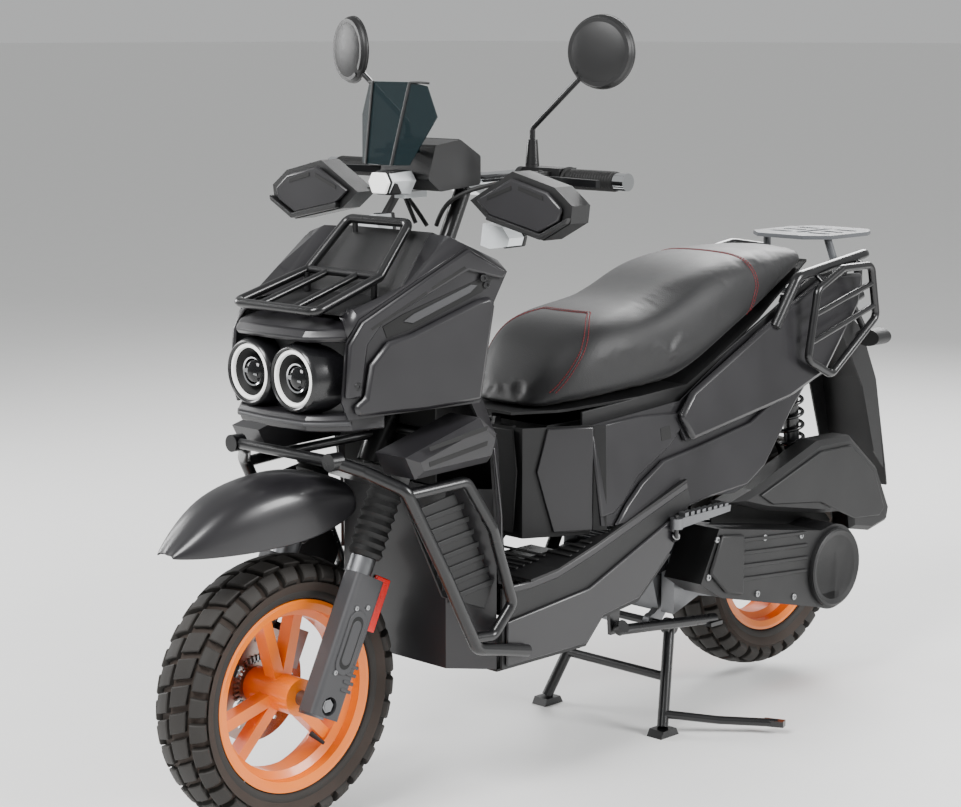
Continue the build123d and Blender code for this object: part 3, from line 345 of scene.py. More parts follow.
# %% Seat vinyl and thread
def seat_vinyl():
    """Black vinyl with a pebble grain and faint creasing."""
    material, tree, shader, place = new_finish("grained_seat_vinyl")
    pebble = add(tree, "ShaderNodeTexVoronoi", {"Vector": place, "Scale": 480.0})
    crease = add(tree, "ShaderNodeTexNoise", {"Vector": place, "Scale": 24.0, "Detail": 6.0})
    height = add(tree, "ShaderNodeMath", {0: pebble.outputs["Distance"],
                                              1: crease.outputs["Fac"]}, operation="ADD")
    relief = add(tree, "ShaderNodeBump", {"Height": height.outputs["Value"],
                                              "Strength": 0.35, "Distance": 0.0006})
    # The tone follows the creasing: the vinyl is darker where the creasing runs low, which is
    # painted shade in the creases.
    tone = add(tree, "ShaderNodeMix", {"Factor": crease.outputs["Fac"]}, data_type="RGBA")
    tone.inputs[6].default_value = linear("0e0e0f")
    tone.inputs[7].default_value = linear("161618")
    gloss = gloss_range(tree, crease.outputs["Fac"], 0.42, 0.6)
    set_surface(tree, shader, {"Base Color": tone.outputs[2], "Roughness": gloss,
                               "Normal": relief.outputs["Normal"]}, Sheen_Weight=0.08)
    return material


SEAT_VINYL = seat_vinyl()
RED_THREAD = grained("dark_red_thread", "8e1420", "6b0f18", 0.7, 0.05, 0.8, 0.4)


# %% [markdown]
# Lenses are clear acrylic, the screen is tinted teal-grey, and the lamp rings are white
# light-guide plastic with a weak glow. The reflector is red acrylic with small prisms.

# %% Lenses, screen and lamps
def clear(name, colour, roughness, ior, alpha):
    """A see-through plastic that keeps its highlights."""
    material, tree, shader, place = new_finish(name)
    haze = add(tree, "ShaderNodeTexNoise", {"Vector": place, "Scale": 60.0, "Detail": 3.0})
    gloss = gloss_range(tree, haze.outputs["Fac"], roughness, roughness + 0.05)
    set_surface(tree, shader, {"Roughness": gloss}, Base_Color=linear(colour), IOR=ior,
                Alpha=alpha)
    return material


INDICATOR_LENS = clear("clear_indicator_lens", "e8ecee", 0.12, 1.49, 0.8)
SMOKED_SCREEN = clear("smoked_teal_acrylic", "0b1c20", 0.05, 1.49, 0.84)
DARK_LENS = clear("dark_projector_glass", "08090b", 0.04, 1.5, 0.95)


def glowing(name, colour, strength, roughness):
    """Milky light-guide plastic with a weak glow."""
    material, tree, shader, place = new_finish(name)
    mottle = add(tree, "ShaderNodeTexNoise", {"Vector": place, "Scale": 120.0})
    gloss = gloss_range(tree, mottle.outputs["Fac"], roughness, roughness + 0.1)
    set_surface(tree, shader, {"Roughness": gloss}, Base_Color=linear(colour),
                Emission_Color=linear(colour), Emission_Strength=strength)
    return material


RING_WHITE = glowing("white_light_guide", "f2f2f0", 0.5, 0.3)


def prism_red():
    """Red reflector acrylic with a grid of prisms 3 mm apart and a weak glow."""
    material, tree, shader, place = new_finish("red_prism_reflector")
    cells = add(tree, "ShaderNodeTexVoronoi", {"Vector": place, "Scale": 330.0,
                                                   "Randomness": 0.0})
    relief = add(tree, "ShaderNodeBump", {"Height": cells.outputs["Distance"],
                                              "Strength": 0.7, "Distance": 0.001})
    # The weak emission is a painted glow on the fork reflectors, which are not lamps; on the tail
    # lens it stands for the lamp.
    red = linear("d41a10")
    set_surface(tree, shader, {"Normal": relief.outputs["Normal"]}, Base_Color=red,
                Roughness=0.18, Emission_Color=red, Emission_Strength=0.15)
    return material


RED_PRISM = prism_red()

# %% [markdown]
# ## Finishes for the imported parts
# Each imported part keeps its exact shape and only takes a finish.

# %% Assign the finishes
FINISHES = {
    SATIN_ABS: "side_panels leg_shield storage_pods rear_panels nose_cowl front_fender",
    GRAINED_PP: "airbox cvt_cover dash floor_panels front_tray hand_guards rear_fender "
                "seat_base seat_pedestal storage_bin switch_housings mirror_head_left "
                "mirror_head_right horn_button starter_button signal_slider headlights rear_lamps",
    GREY_PP: "slider_covers",
    SOFT_RUBBER: "fork_bellows left_grip throttle_grip",
    ORANGE_COAT: "front_rim rear_rim",
    BLACK_COAT: "main_frame front_rails rear_rails centre_stand side_stand mirror_stem_left "
                "mirror_stem_right shock_body fork_yoke exhaust brake_lever_left "
                "brake_lever_right",
    SILVER_COAT: "tail_rack",
    CHROME: "handlebar shock_rod",
    CAST_ALLOY: "engine_case passenger_peg_left passenger_peg_right fork_sliders "
                "brake_caliper drive_pulley clutch_pulley",
    DISC_STEEL: "brake_disc",
    SPRING_COAT: "shock_spring fuel_tank",
    INDICATOR_LENS: "front_signals",
    SMOKED_SCREEN: "windscreen",
}
for finish, names in FINISHES.items():
    for part in names.split():
        only_finish(NODES[part].data, finish)
print("finishes given:", len(FINISHES))

# %% [markdown]
# ## Repeats with Geometry Nodes
# Three small trees make what repeats. The first turns copies of a shape round an axle, for
# tread blocks and the sensor ring's teeth. The second drops copies at given points with a given
# turn, for screws. The third spaces copies along a line, for stitches and ribs.


# %% The trees
def tree_with(name, extra):
    """A geometry tree with its shape, finish and named inputs."""
    tree = bpy.data.node_groups.new(name, "GeometryNodeTree")
    face = tree.interface
    face.new_socket("Geometry", in_out="INPUT", socket_type="NodeSocketGeometry")
    keys = {}
    for label, kind in extra + [("Finish", "NodeSocketMaterial")]:
        keys[label] = face.new_socket(label, in_out="INPUT", socket_type=kind).identifier
    face.new_socket("Geometry", in_out="OUTPUT", socket_type="NodeSocketGeometry")
    return tree, keys


def close_tree(tree, source, start):
    """Ends a tree with real meshes in one finish."""
    real = add(tree, "GeometryNodeRealizeInstances", {"Geometry": source})
    coat = add(tree, "GeometryNodeSetMaterial",
                {"Geometry": real.outputs["Geometry"], "Material": start.outputs["Finish"]})
    add(tree, "NodeGroupOutput", {"Geometry": coat.outputs["Geometry"]})


def round_tree():
    """Copies of the shape turned round an X axis through a centre."""
    tree, keys = tree_with("copies_round_axle", [
        ("Count", "NodeSocketInt"), ("Centre", "NodeSocketVector"), ("Start", "NodeSocketFloat")])
    start = add(tree, "NodeGroupInput")
    index = add(tree, "GeometryNodeInputIndex")
    share = add(tree, "ShaderNodeMath", {0: index.outputs[0], 1: start.outputs["Count"]},
                 operation="DIVIDE")
    moved = add(tree, "ShaderNodeMath", {0: share.outputs[0], 1: start.outputs["Start"]},
                 operation="ADD")
    angle = add(tree, "ShaderNodeMath", {0: moved.outputs[0], 1: 2 * math.pi},
                 operation="MULTIPLY")
    turn = add(tree, "ShaderNodeCombineXYZ", {"X": angle.outputs[0]})
    spots = add(tree, "GeometryNodePoints", {"Count": start.outputs["Count"],
                                              "Position": start.outputs["Centre"]})
    copies = add(tree, "GeometryNodeInstanceOnPoints",
                  {"Points": spots.outputs[0], "Instance": start.outputs["Geometry"],
                   "Rotation": turn.outputs[0]})
    close_tree(tree, copies.outputs["Instances"], start)
    return tree, keys


def spot_tree():
    """One copy of a shape on each point, turned by the point's own attribute."""
    tree, keys = tree_with("copies_on_spots", [("Shape", "NodeSocketObject")])
    start = add(tree, "NodeGroupInput")
    shape = add(tree, "GeometryNodeObjectInfo", {"Object": start.outputs["Shape"]})
    turn = add(tree, "GeometryNodeInputNamedAttribute", {"Name": "turn"},
                data_type="FLOAT_VECTOR")
    copies = add(tree, "GeometryNodeInstanceOnPoints",
                  {"Points": start.outputs["Geometry"], "Instance": shape.outputs["Geometry"],
                   "Rotation": turn.outputs["Attribute"]})
    close_tree(tree, copies.outputs["Instances"], start)
    return tree, keys


def line_tree():
    """Copies of a shape at equal steps along a line, turned to follow it."""
    tree, keys = tree_with("copies_along_line", [("Shape", "NodeSocketObject"),
                                                 ("Step", "NodeSocketFloat")])
    start = add(tree, "NodeGroupInput")
    shape = add(tree, "GeometryNodeObjectInfo", {"Object": start.outputs["Shape"]})
    line = add(tree, "GeometryNodeMeshToCurve", {"Mesh": start.outputs["Geometry"]})
    spots = add(tree, "GeometryNodeCurveToPoints",
                 {"Curve": line.outputs["Curve"], "Length": start.outputs["Step"]},
                 mode="LENGTH")
    copies = add(tree, "GeometryNodeInstanceOnPoints",
                  {"Points": spots.outputs["Points"], "Instance": shape.outputs["Geometry"],
                   "Rotation": spots.outputs["Rotation"]})
    close_tree(tree, copies.outputs["Instances"], start)
    return tree, keys


ROUND_TREE = round_tree()
SPOT_TREE = spot_tree()
LINE_TREE = line_tree()


def grown(name, source, tree_and_keys, values, finish, body, smooth=40):
    """Runs a tree on a source object and keeps the result as one plain mesh."""
    tree, keys = tree_and_keys
    tool = source.modifiers.new("repeat", "NODES")
    tool.node_group = tree
    for label, value in values.items():
        tool[keys[label]] = value
    tool[keys["Finish"]] = finish
    bpy.context.view_layer.update()
    mesh = plain_mesh(source)
    bpy.data.objects.remove(source)
    only_finish(mesh, finish)
    mesh.polygons.foreach_set("material_index", [0] * len(mesh.polygons))
    shade_smooth(mesh, smooth)
    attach(in_scene(name, mesh), body)
    print(name, "faces:", len(mesh.polygons))


def line_object(points):
    """A bare line of edges, for a tree to follow."""
    mesh = bpy.data.meshes.new("guide line")
    mesh.from_pydata([tuple(p) for p in points], [(i, i + 1) for i in range(len(points) - 1)], [])
    return in_scene("guide line", mesh)


def spot_object(spots):
    """Bare points, each with the turn that points a copy along a direction."""
    mesh = bpy.data.meshes.new("guide spots")
    mesh.from_pydata([tuple(p) for p, _ in spots], [], [])
    turns = mesh.attributes.new("turn", "FLOAT_VECTOR", "POINT")
    for i, (_, way) in enumerate(spots):
        turn = Vector((0, 0, 1)).rotation_difference(Vector(way).normalized())
        turns.data[i].vector = tuple(turn.to_euler())
    return in_scene("guide spots", mesh)


# %% [markdown]
# ## Camera, light and floor
# A long lens from the front left corner, a wide soft key light, and a pale floor.

# %% Stage
PALE_FLOOR = grained("pale_studio_floor", "f2f2f1", "eeeeed", 0.6, 0.03, 4.0, 0.02)
floor_bm = bmesh.new()
bmesh.ops.create_grid(floor_bm, x_segments=1, y_segments=1, size=200)
floor = finish_mesh("studio_floor", floor_bm, PALE_FLOOR, 0)
floor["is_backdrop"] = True


def softbox(name, place, aim, size, power):
    """A large square light aimed at a point."""
    lamp = bpy.data.lights.new(name, "AREA")
    lamp.size = size
    lamp.energy = power
    holder = in_scene(name, lamp)
    holder.location = place
    holder.rotation_euler = (Vector(aim) - Vector(place)).to_track_quat("-Z", "Y").to_euler()


softbox("key_light", (0.6, -3.0, 3.4), (0, 0, 0.6), 1.6, 210)
softbox("left_light", (3.6, 1.4, 2.4), (0, 0, 0.6), 1.4, 190)
softbox("back_light", (-1.5, 3.6, 3.2), (0, 0, 0.8), 1.8, 190)
softbox("right_light", (-3.6, -1.2, 1.8), (0, 0, 0.6), 1.4, 90)
world = bpy.data.worlds.new("studio air")
bpy.context.scene.world = world
world.use_nodes = True
air = world.node_tree.nodes["Background"].inputs
air["Color"].default_value = linear("eceded")
air["Strength"].default_value = 0.62

CAMERA_PLACE = (2.8272, -3.1144, 1.3450)
CAMERA_DOWN, CAMERA_ROUND = 9.45, 44.5
lens = bpy.data.cameras.new("camera")
lens.lens = 84.04
lens.sensor_width = 36
lens.clip_end = 300
camera = in_scene("camera", lens)
camera.location = CAMERA_PLACE
camera.rotation_euler = (math.radians(90 - CAMERA_DOWN), 0, math.radians(CAMERA_ROUND))
bpy.context.scene.camera = camera

# %% [markdown]
# ## Tyres
# A road-and-trail tyre is a rounded carcass with separate rubber blocks. One block of each
# row is bent to the tyre's crown, and Geometry Nodes turns copies round the axle. The packed
# tyre stays as the collision shape.

# %% Tyre carcass and blocks
TREAD_DEPTH = 9.0
CROWN_DROP = 33
BLOCKS_ROUND = 32
RIM_RADIUS = 166


def crown(half, radius, share, depth):
    """Across and radius in millimetres on the tyre's crown; share runs from -1 to 1."""
    angle = share * math.pi / 2
    return (half - depth) * math.sin(angle), radius - depth - CROWN_DROP * (1 - math.cos(angle))


def tread_block(half, radius, corners):
    """One block: four (share, degrees) corners mapped onto the crown."""
    bm = bmesh.new()
    layers = []
    for depth, grow in ((TREAD_DEPTH + 0.5, 1.0), (1.2, 0.96), (0.0, 0.84)):
        mid_share = sum(c[0] for c in corners) / 4
        mid_turn = sum(c[1] for c in corners) / 4
        layer = []
        for i in range(4):
            row = []
            for j in range(4):
                a, b = i / 3, j / 3
                weights = ((1 - a) * (1 - b), a * (1 - b), a * b, (1 - a) * b)
                share = sum(w * c[0] for w, c in zip(weights, corners))
                turn = sum(w * c[1] for w, c in zip(weights, corners))
                share = mid_share + (share - mid_share) * grow
                turn = mid_turn + (turn - mid_turn) * grow
                x, r = crown(half, radius, share, depth)
                angle = math.radians(turn)
                row.append(bm.verts.new((x / 1000, r * math.cos(angle) / 1000,
                                         r * math.sin(angle) / 1000)))
            layer.append(row)
        layers.append(layer)
    for layer in (layers[0], layers[-1]):
        for i in range(3):
            for j in range(3):
                bm.faces.new((layer[i][j], layer[i + 1][j], layer[i + 1][j + 1],
                              layer[i][j + 1]))
    border = [(i, 0) for i in range(4)] + [(3, j) for j in range(1, 4)]
    border += [(i, 3) for i in range(2, -1, -1)] + [(0, j) for j in range(2, 0, -1)]
    for low, high in zip(layers, layers[1:]):
        for k in range(len(border)):
            (i, j), (m, n) = border[k], border[(k + 1) % len(border)]
            bm.faces.new((low[i][j], low[m][n], high[m][n], high[i][j]))
    return bm


def dress_tyre(part, body, rim_radius):
    """Carcass and four rows of blocks in place of a plain packed tyre."""
    low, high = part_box(part)
    centre = (Vector(low) + Vector(high)) / 2
    half = (high[0] - low[0]) * 500
    radius = (high[1] - low[1]) * 500
    outer = [crown(half, radius, -1 + k / 8, TREAD_DEPTH) for k in range(17)]
    lip = half - 13
    wall = [(-lip + 1, rim_radius + 2), (-half + 10, rim_radius + 14),
            (-half + 4, rim_radius + 26), (-half + 3, rim_radius + 31)]
    right = [(-x, r) for x, r in reversed(wall)]
    inner = [(lip - 6, rim_radius + 2), (half - 16, rim_radius + 24), (0, radius - 24),
             (-half + 16, rim_radius + 24), (-lip + 6, rim_radius + 2)]
    carcass = turned(part + "_carcass", GROOVE_RUBBER, wall + outer + right + inner, centre,
                     (1, 0, 0), steps=120, closed=True, smooth=50)
    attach(carcass, body)
    side_ring = [(0, rim_radius + 3), (2.6, rim_radius + 7), (2.6, rim_radius + 16),
                 (0, rim_radius + 20)]
    for sign in (-1, 1):
        spot = centre + Vector((sign * (half - 12) / 1000, 0, 0))
        ring = turned(f"{part}_sidewall_{'left' if sign > 0 else 'right'}", TYRE_RUBBER,
                      side_ring, spot, (sign, 0, 0), steps=120, closed=True, smooth=50)
        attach(ring, body)
    rows = {
        "crown_left": ([(0.03, -2.6), (0.44, -5.4), (0.42, 3.4), (0.03, 6.0)], 0.0),
        "crown_right": ([(-0.03, -6.0), (-0.42, -3.4), (-0.44, 5.4), (-0.03, 2.6)], 0.5),
        "shoulder_left": ([(0.50, -4.8), (0.98, -4.2), (0.98, 3.6), (0.49, 3.8)], 0.42),
        "shoulder_right": ([(-0.50, -4.8), (-0.98, -4.2), (-0.98, 3.6), (-0.49, 3.8)], 0.92),
    }
    for row, (corners, start) in rows.items():
        block = finish_mesh("block", tread_block(half, radius, corners), TYRE_RUBBER, 30)
        grown(f"{part}_{row}", block, ROUND_TREE,
              {"Count": BLOCKS_ROUND, "Centre": tuple(centre), "Start": start / BLOCKS_ROUND},
              TYRE_RUBBER, body, smooth=30)
    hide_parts(part)


dress_tyre("front_tyre", "front_wheel", RIM_RADIUS)
dress_tyre("rear_tyre", "rear_wheel", RIM_RADIUS)

# %% [markdown]
# The toothed ring for the wheel-speed sensor sits beside the disc, and a valve stem stands
# on the front rim.

# %% Sensor ring and valve
front_centre = at(0, 0, FRONT_AXLE_UP)
tooth = plate("tooth", ZINC, [Vector((-0.056, 0.040, -0.0018)), Vector((-0.052, 0.040, -0.0018)),
                              Vector((-0.052, 0.052, -0.0018)), Vector((-0.056, 0.052, -0.0018))],
              3.6, (0, 0, 1))
grown("sensor_teeth", tooth, ROUND_TREE,
      {"Count": 36, "Centre": tuple(front_centre), "Start": 0.0}, ZINC, "front_wheel")
ring = turned("sensor_ring", ZINC, [(-2, 40), (2, 40), (2, 43), (-2, 43)],
              front_centre - Vector((0.054, 0, 0)), (1, 0, 0), closed=True)
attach(ring, "front_wheel")
valve = turned("tyre_valve", SOFT_RUBBER, [(0, 5), (8, 4.6), (22, 3.4), (30, 3.2)],
               at(10, 62, 150), (0.5, 0.55, -0.6), steps=20)
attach(valve, "front_wheel")

# %% [markdown]
# ## Seat
# The seat is foam under vinyl. It starts as a skin a little smaller than the finished seat,
# and a cloth run with air pressure fills it out. Seams and stitches follow afterwards.

# %% Seat foam
SEAT_RINGS = [
    # back, half width, underside, side crease, top
    (540, 58, 667, 672, 678), (556, 84, 667, 676, 694), (584, 106, 668, 692, 730),
    (614, 122, 670, 716, 770), (650, 134, 671, 738, 800), (694, 142, 673, 756, 819),
    (760, 148, 676, 768, 829),
    (830, 149, 680, 776, 838), (900, 149, 684, 790, 860), (960, 148, 706, 806, 884),
    (1020, 145, 734, 828, 900), (1090, 140, 766, 850, 908), (1160, 133, 798, 866, 911),
    (1230, 122, 830, 880, 911), (1300, 108, 862, 890, 909), (1350, 92, 884, 897, 906),
]


def seat_ring(back, half, low, crease, top):
    """One cross-section: flat underside, tucked sides and a crowned top."""
    side = [(0.90 * half, low), (0.985 * half, low + (crease - low) * 0.35),
            (half, low + (crease - low) * 0.8), (0.965 * half, crease + (top - crease) * 0.35),
            (0.82 * half, crease + (top - crease) * 0.78), (0.5 * half, top - 2)]
    return ([at(x, back, z) for x, z in side] + [at(0, back, top)]
            + [at(-x, back, z) for x, z in reversed(side)] + [at(0, back, low)])


seat = loft("seat_cover", SEAT_VINYL, [seat_ring(*r) for r in SEAT_RINGS], smooth=0)
smoother = seat.modifiers.new("smooth", "SUBSURF")
smoother.levels = smoother.render_levels = 2
remesh = seat.modifiers.new("even skin", "REMESH")
remesh.mode = "VOXEL"
remesh.voxel_size = 0.006
bpy.context.view_layer.update()
skin = plain_mesh(seat)
seat.modifiers.clear()
seat.data = skin
print("seat skin points:", len(skin.vertices))


# %% Fill the seat with pressure
STUFFING_CAP = 0.004


def puff(piece, cap, frames=20):
    """Runs cloth with air pressure and limits how far each point may move."""
    before = [v.co.copy() for v in piece.data.vertices]
    cloth = piece.modifiers.new("stuffing", "CLOTH")
    cloth.settings.use_pressure = True
    cloth.settings.uniform_pressure_force = 4
    cloth.settings.effector_weights.gravity = 0
    cloth.settings.tension_stiffness = 25
    cloth.settings.compression_stiffness = 25
    cloth.settings.bending_stiffness = 2
    for step in range(1, frames + 1):
        bpy.context.scene.frame_set(step)
    result = piece.evaluated_get(bpy.context.evaluated_depsgraph_get()).data
    after = [v.co.copy() for v in result.vertices]
    piece.modifiers.remove(cloth)
    for vertex, old, new in zip(piece.data.vertices, before, after):
        move = new - old
        if move.length > cap:
            move *= cap / move.length
        vertex.co = old + move
    bpy.context.scene.frame_set(1)


puff(seat, STUFFING_CAP)
only_finish(seat.data, SEAT_VINYL)
shade_smooth(seat.data)
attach(seat, "seat")
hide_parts("seat_cushion")
SEAT_SURFACE = BVHTree.FromObject(seat, bpy.context.evaluated_depsgraph_get())


# %% [markdown]
# Two double rows of red thread cross the seat: one round the nose and one at the step
# between rider and pillion. Rays dropped on the finished skin give the line of each row.

# %% Stitches
def drape(spots, lift=0.0006):
    """Drops points on the seat from outside and above."""
    laid = []
    for spot in spots:
        heart = at(0, (spot.y * 1000 + AXLE_BACK), 700)
        way = (heart - spot).normalized()
        hit, normal, _, _ = SEAT_SURFACE.ray_cast(spot, way)
        if hit is not None:
            laid.append(hit + normal * lift)
    return laid


def seam_arc(back_mid, back_side, back_low, side_up, low_up, shift):
    """Points on an arch over the seat, from one lower edge to the other."""
    control = [(180, back_low, low_up), (176, back_side, side_up), (120, back_mid + 6, 960),
               (60, back_mid, 1000), (0, back_mid, 1010)]
    arch = [at(x, b + shift, z) for x, b, z in control]
    arch += [at(-x, b + shift, z) for x, b, z in reversed(control[:-1])]
    dense = []
    for a, b in zip(arch, arch[1:]):
        dense += [a.lerp(b, k / 12) for k in range(12)]
    return dense + [arch[-1]]


stitch = turned("stitch", RED_THREAD, [(-2.4, 0.3), (-1.6, 0.75), (1.6, 0.75), (2.4, 0.3)],
                Vector((0, 0, 0)), (0, 0, 1), steps=8, smooth=60)
SEAMS = {"nose": (716, 640, 582, 800, 690), "step": (1112, 1136, 1107, 900, 790)}
STITCH_STEP = 0.0062
for seam, numbers in SEAMS.items():
    for side, shift in (("front", -4), ("back", 4)):
        path = drape(seam_arc(*numbers, shift))
        grown(f"{seam}_stitches_{side}", line_object(path), LINE_TREE,
              {"Shape": stitch, "Step": STITCH_STEP}, RED_THREAD, "seat", smooth=60)
    ridge = pipe(f"{seam}_seam", SEAT_VINYL, drape(seam_arc(*numbers, 0), 0.0)[::4], 1.6)
    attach(ridge, "seat")
bpy.data.objects.remove(stitch)

# %% [markdown]
# ## Headlamps
# Two round lamps share a faceted face. Each has a white ring, a dark bowl and a projector lens
# with a chrome rim. A short collar carries the lamp out of the cowl.

# %% Lamps
FORWARD = Vector((0, -1, 0))
SIDES = (("left", 1), ("right", -1))
LAMP_ACROSS, LAMP_UP = 56, 780
for side, sign in SIDES:
    centre = at(sign * LAMP_ACROSS, 0, LAMP_UP)
    parts = [
        turned(f"lamp_collar_{side}", FACE_ABS,
               [(-70, 70), (-40, 66), (-16, 60.5), (2, 56.5), (8, 54), (9.5, 51.5), (8, 49.4),
                (-70, 49.4)], centre, FORWARD, closed=True, smooth=50),
        turned(f"lamp_ring_{side}", RING_WHITE,
               [(0, 48.6), (5.5, 47.6), (7.5, 45), (6.8, 42), (3, 40.5), (0, 40.5)], centre,
               FORWARD, closed=True),
        turned(f"lamp_bowl_{side}", SHADE_DARK_PP,
               [(1.6, 40.2), (-6, 35), (-16, 27), (-22, 21), (-24, 21), (-18, 30), (-8, 39.5)],
               centre, FORWARD, closed=True),
        turned(f"lamp_projector_{side}", DARK_LENS,
               [(-24, 24), (-10, 23), (-3, 20), (1, 15), (3, 8), (3.6, 0.1)], centre, FORWARD,
               smooth=60),
        turned(f"lamp_eye_{side}", CHROME, [(-7, 26), (-1, 24.5), (-2, 22), (-8, 23)], centre,
               FORWARD, closed=True, smooth=60),
    ]
    shield = plate(f"lamp_cutoff_{side}", CHROME,
                   [centre + Vector((a, -0.0015, b)) for a, b in
                    ((-0.016, 0.004), (-0.004, 0.005), (0.003, -0.002), (0.016, -0.002),
                     (0.016, -0.006), (-0.016, -0.002))], 1.5, FORWARD)
    parts.append(shield)
    for piece in parts:
        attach(piece, "chassis")
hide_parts("headlights")

# %% [markdown]
# The face around the lamps is one moulding: a brow above, cheeks that turn back to the side
# panels, and a chin lip below. Flat plates with soft bevels give its crisp facets.


# %% Lamp face
NOSE_SWEEP = ((0, -16), (84, -10), (108, 10), (134, 44))


def nose_block(name, finish, profile, bevel):
    """A block across the nose; each section's front edge follows the swept-back sides."""
    rings = []
    for x, front in [(-x, f) for x, f in reversed(NOSE_SWEEP[1:])] + list(NOSE_SWEEP):
        rings.append([at(x, front + back if back < 90 else 128, z) for back, z in profile])
    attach(bevelled(loft(name, finish, rings, 30), bevel), "chassis")


nose_block("nose_brow", SATIN_ABS, [(8, 842), (0, 850), (10, 863), (56, 876), (99, 886),
                                    (99, 842)], 2.5)
nose_block("nose_chin", SATIN_ABS, [(10, 722), (3, 712), (10, 694), (99, 690), (99, 722)], 2.5)
nose_block("nose_core", FACE_ABS, [(40, 720), (36, 780), (40, 844), (99, 844), (99, 720)], 2)
nose_block("nose_lip", GREY_PP, [(2, 711), (0, 708), (2, 704), (10, 702), (10, 711)], 0.6)
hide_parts("nose_cowl")
# A dark sheet set back behind the nose: painted shadow.
fixed_plate("chassis", "nose_shadow", SHADE_DARK_PP, [at(x, 262, z) for x, z in
                                       ((-116, 572), (116, 572), (116, 742), (-116, 742))],
            3, (0, 1, 0))


def facet(name, finish, corners, thickness, push, bevel, body="chassis"):
    """A bevelled plate on the left given in millimetres, with its copy on the right."""
    both_sides(name, finish, [at(*c) for c in corners], thickness, push, bevel, body)


# %% [markdown]
# ## Side panels
# Each side panel is a flat shell with layered mouldings: a satin band round its edge, a long
# slanted vent, a hollow at the rear top corner with a screw, and a full lower cheek.

# %% Side panel layers
YAW = math.radians(14.4)
OUT = Vector((math.cos(YAW), -math.sin(YAW), 0))


def on_panel(run, up, proud=0.0):
    """A point on the left side panel's face, in millimetres, lifted outwards."""
    base = Vector((141 + run * math.sin(YAW), 30 + run * math.cos(YAW) - AXLE_BACK, up))
    return (base + OUT * proud) / 1000


def panel_piece(name, finish, outline, low, high, bevel):
    """A layer of the side panel between two heights above its face, on both sides."""
    both_sides(name, finish, [on_panel(a, b, low) for a, b in outline], high - low, OUT, bevel)


panel_piece("panel_band", SATIN_ABS,
            [(0, 752), (7, 840), (32, 876), (234, 986), (308, 943), (300, 932), (232, 950),
             (70, 872), (42, 838), (30, 752)], -0.5, 8, 5)
panel_piece("panel_cheek", SATIN_ABS,
            [(44, 806), (78, 842), (122, 852), (250, 900), (275, 905), (282, 888), (274, 840),
             (256, 730), (150, 722), (20, 722), (14, 740), (34, 752)], -0.5, 13, 12)
# The vent is a dark plate on the panel face: painted shade in the opening.
panel_piece("panel_vent", SHADE_DARK_PP,
            [(72, 866), (110, 884), (262, 936), (284, 934), (262, 912), (120, 856), (80, 846)],
            -0.5, 1.2, 0.4)
panel_piece("panel_vent_lip", GREY_PP,
            [(110, 872), (130, 884), (240, 926), (252, 924), (238, 912), (128, 868)], 0.8, 3.4, 1)
# The two slots are thin dark plates on the band: painted shade in the grooves.
for number, (a, b) in enumerate((((46, 866), (150, 920)), ((160, 926), (224, 958)))):
    (x0, z0), (x1, z1) = a, b
    panel_piece(f"panel_slot_{number}", SHADE_DARK_PP,
                [(x0, z0), (x1, z1), (x1 + 3, z1 - 4), (x0 + 3, z0 - 4)], 7.8, 8.3, 0.2)

# %% Shoulder between panel and tray
def shoulder():
    """A folded skin from the panel's top edge in to the tray."""
    outer = [on_panel(a, b, -2) for a, b in ((8, 852), (30, 882), (134, 938), (234, 991),
                                             (311, 946))]
    inner = [at(*p) for p in ((112, 46, 884), (114, 62, 896), (114, 170, 906), (114, 252, 1006),
                              (114, 396, 956))]
    bm = bmesh.new()
    rows = [[bm.verts.new(p.lerp(q, k / 2) + Vector((0, 0, 0.006 * (k == 1)))) for k in range(3)]
            for p, q in zip(outer, inner)]
    for low_row, high_row in zip(rows, rows[1:]):
        for k in range(2):
            bm.faces.new((low_row[k], low_row[k + 1], high_row[k + 1], high_row[k]))
    piece = finish_mesh("shoulder_left", bm, SATIN_ABS, 30)
    wall = piece.modifiers.new("wall", "SOLIDIFY")
    wall.thickness = 0.003
    mesh = plain_mesh(piece)
    piece.modifiers.clear()
    piece.data = mesh
    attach(piece, "chassis")
    other_side(piece, "shoulder_right", "chassis")


shoulder()

# %% [markdown]
# ## Storage pods, shield and crash bars
# The pods under the panels have two pressed lines each. A ribbed grille fills the loop of
# the crash bars.

# %% Pods and grilles
# Each pressed line is a thin dark strip: painted shade in the crease.
for number, drop in enumerate((0, 26)):
    facet(f"pod_line_{number}", SHADE_DARK_PP,
          [(236.6, 130, 672 - drop), (236.6, 268, 690 - drop), (236.6, 266, 682 - drop),
           (236.6, 132, 664 - drop)], 1.2, (-1, 0, 0), 0.3)
facet("grille_back", GRAINED_PP,
      [(199, 118, 556), (199, 226, 574), (199, 318, 400), (199, 300, 360), (199, 196, 400)], 4,
      (-1, 0, 0), 1.5)
for number in range(7):
    up = 546 - number * 24
    front = 130 + (556 - up) * 0.50
    rear = 232 + (574 - up) * 0.50
    facet(f"grille_rib_{number}", GRAINED_PP,
          [(202, front, up - 4), (202, rear, up + 10), (202, rear, up), (202, front, up - 14)],
          4, (-1, 0, 0), 1.2)

# %% [markdown]
# ## Body under the seat
# The flank is one moulding in three layers: a hip under the seat, a swept lower panel and a
# blunt wing that carries the line up to the tail. They stand a few millimetres off the packed
# flank, on its own lean.

# %% Flank layers
LEAN = math.radians(8.6)
FLANK_OUT = Vector((math.cos(LEAN), 0, math.sin(LEAN)))


def on_flank(back, up, proud=0.0):
    """A point on the left flank, lifted outwards in millimetres."""
    return at(192 - (up - 450) * math.tan(LEAN), back, up) + FLANK_OUT * proud / 1000


def flank_piece(name, finish, outline, low, high, bevel):
    """A layer of the flank between two heights above it, on both sides."""
    both_sides(name, finish, [on_flank(a, b, low) for a, b in outline], high - low, FLANK_OUT,
               bevel)


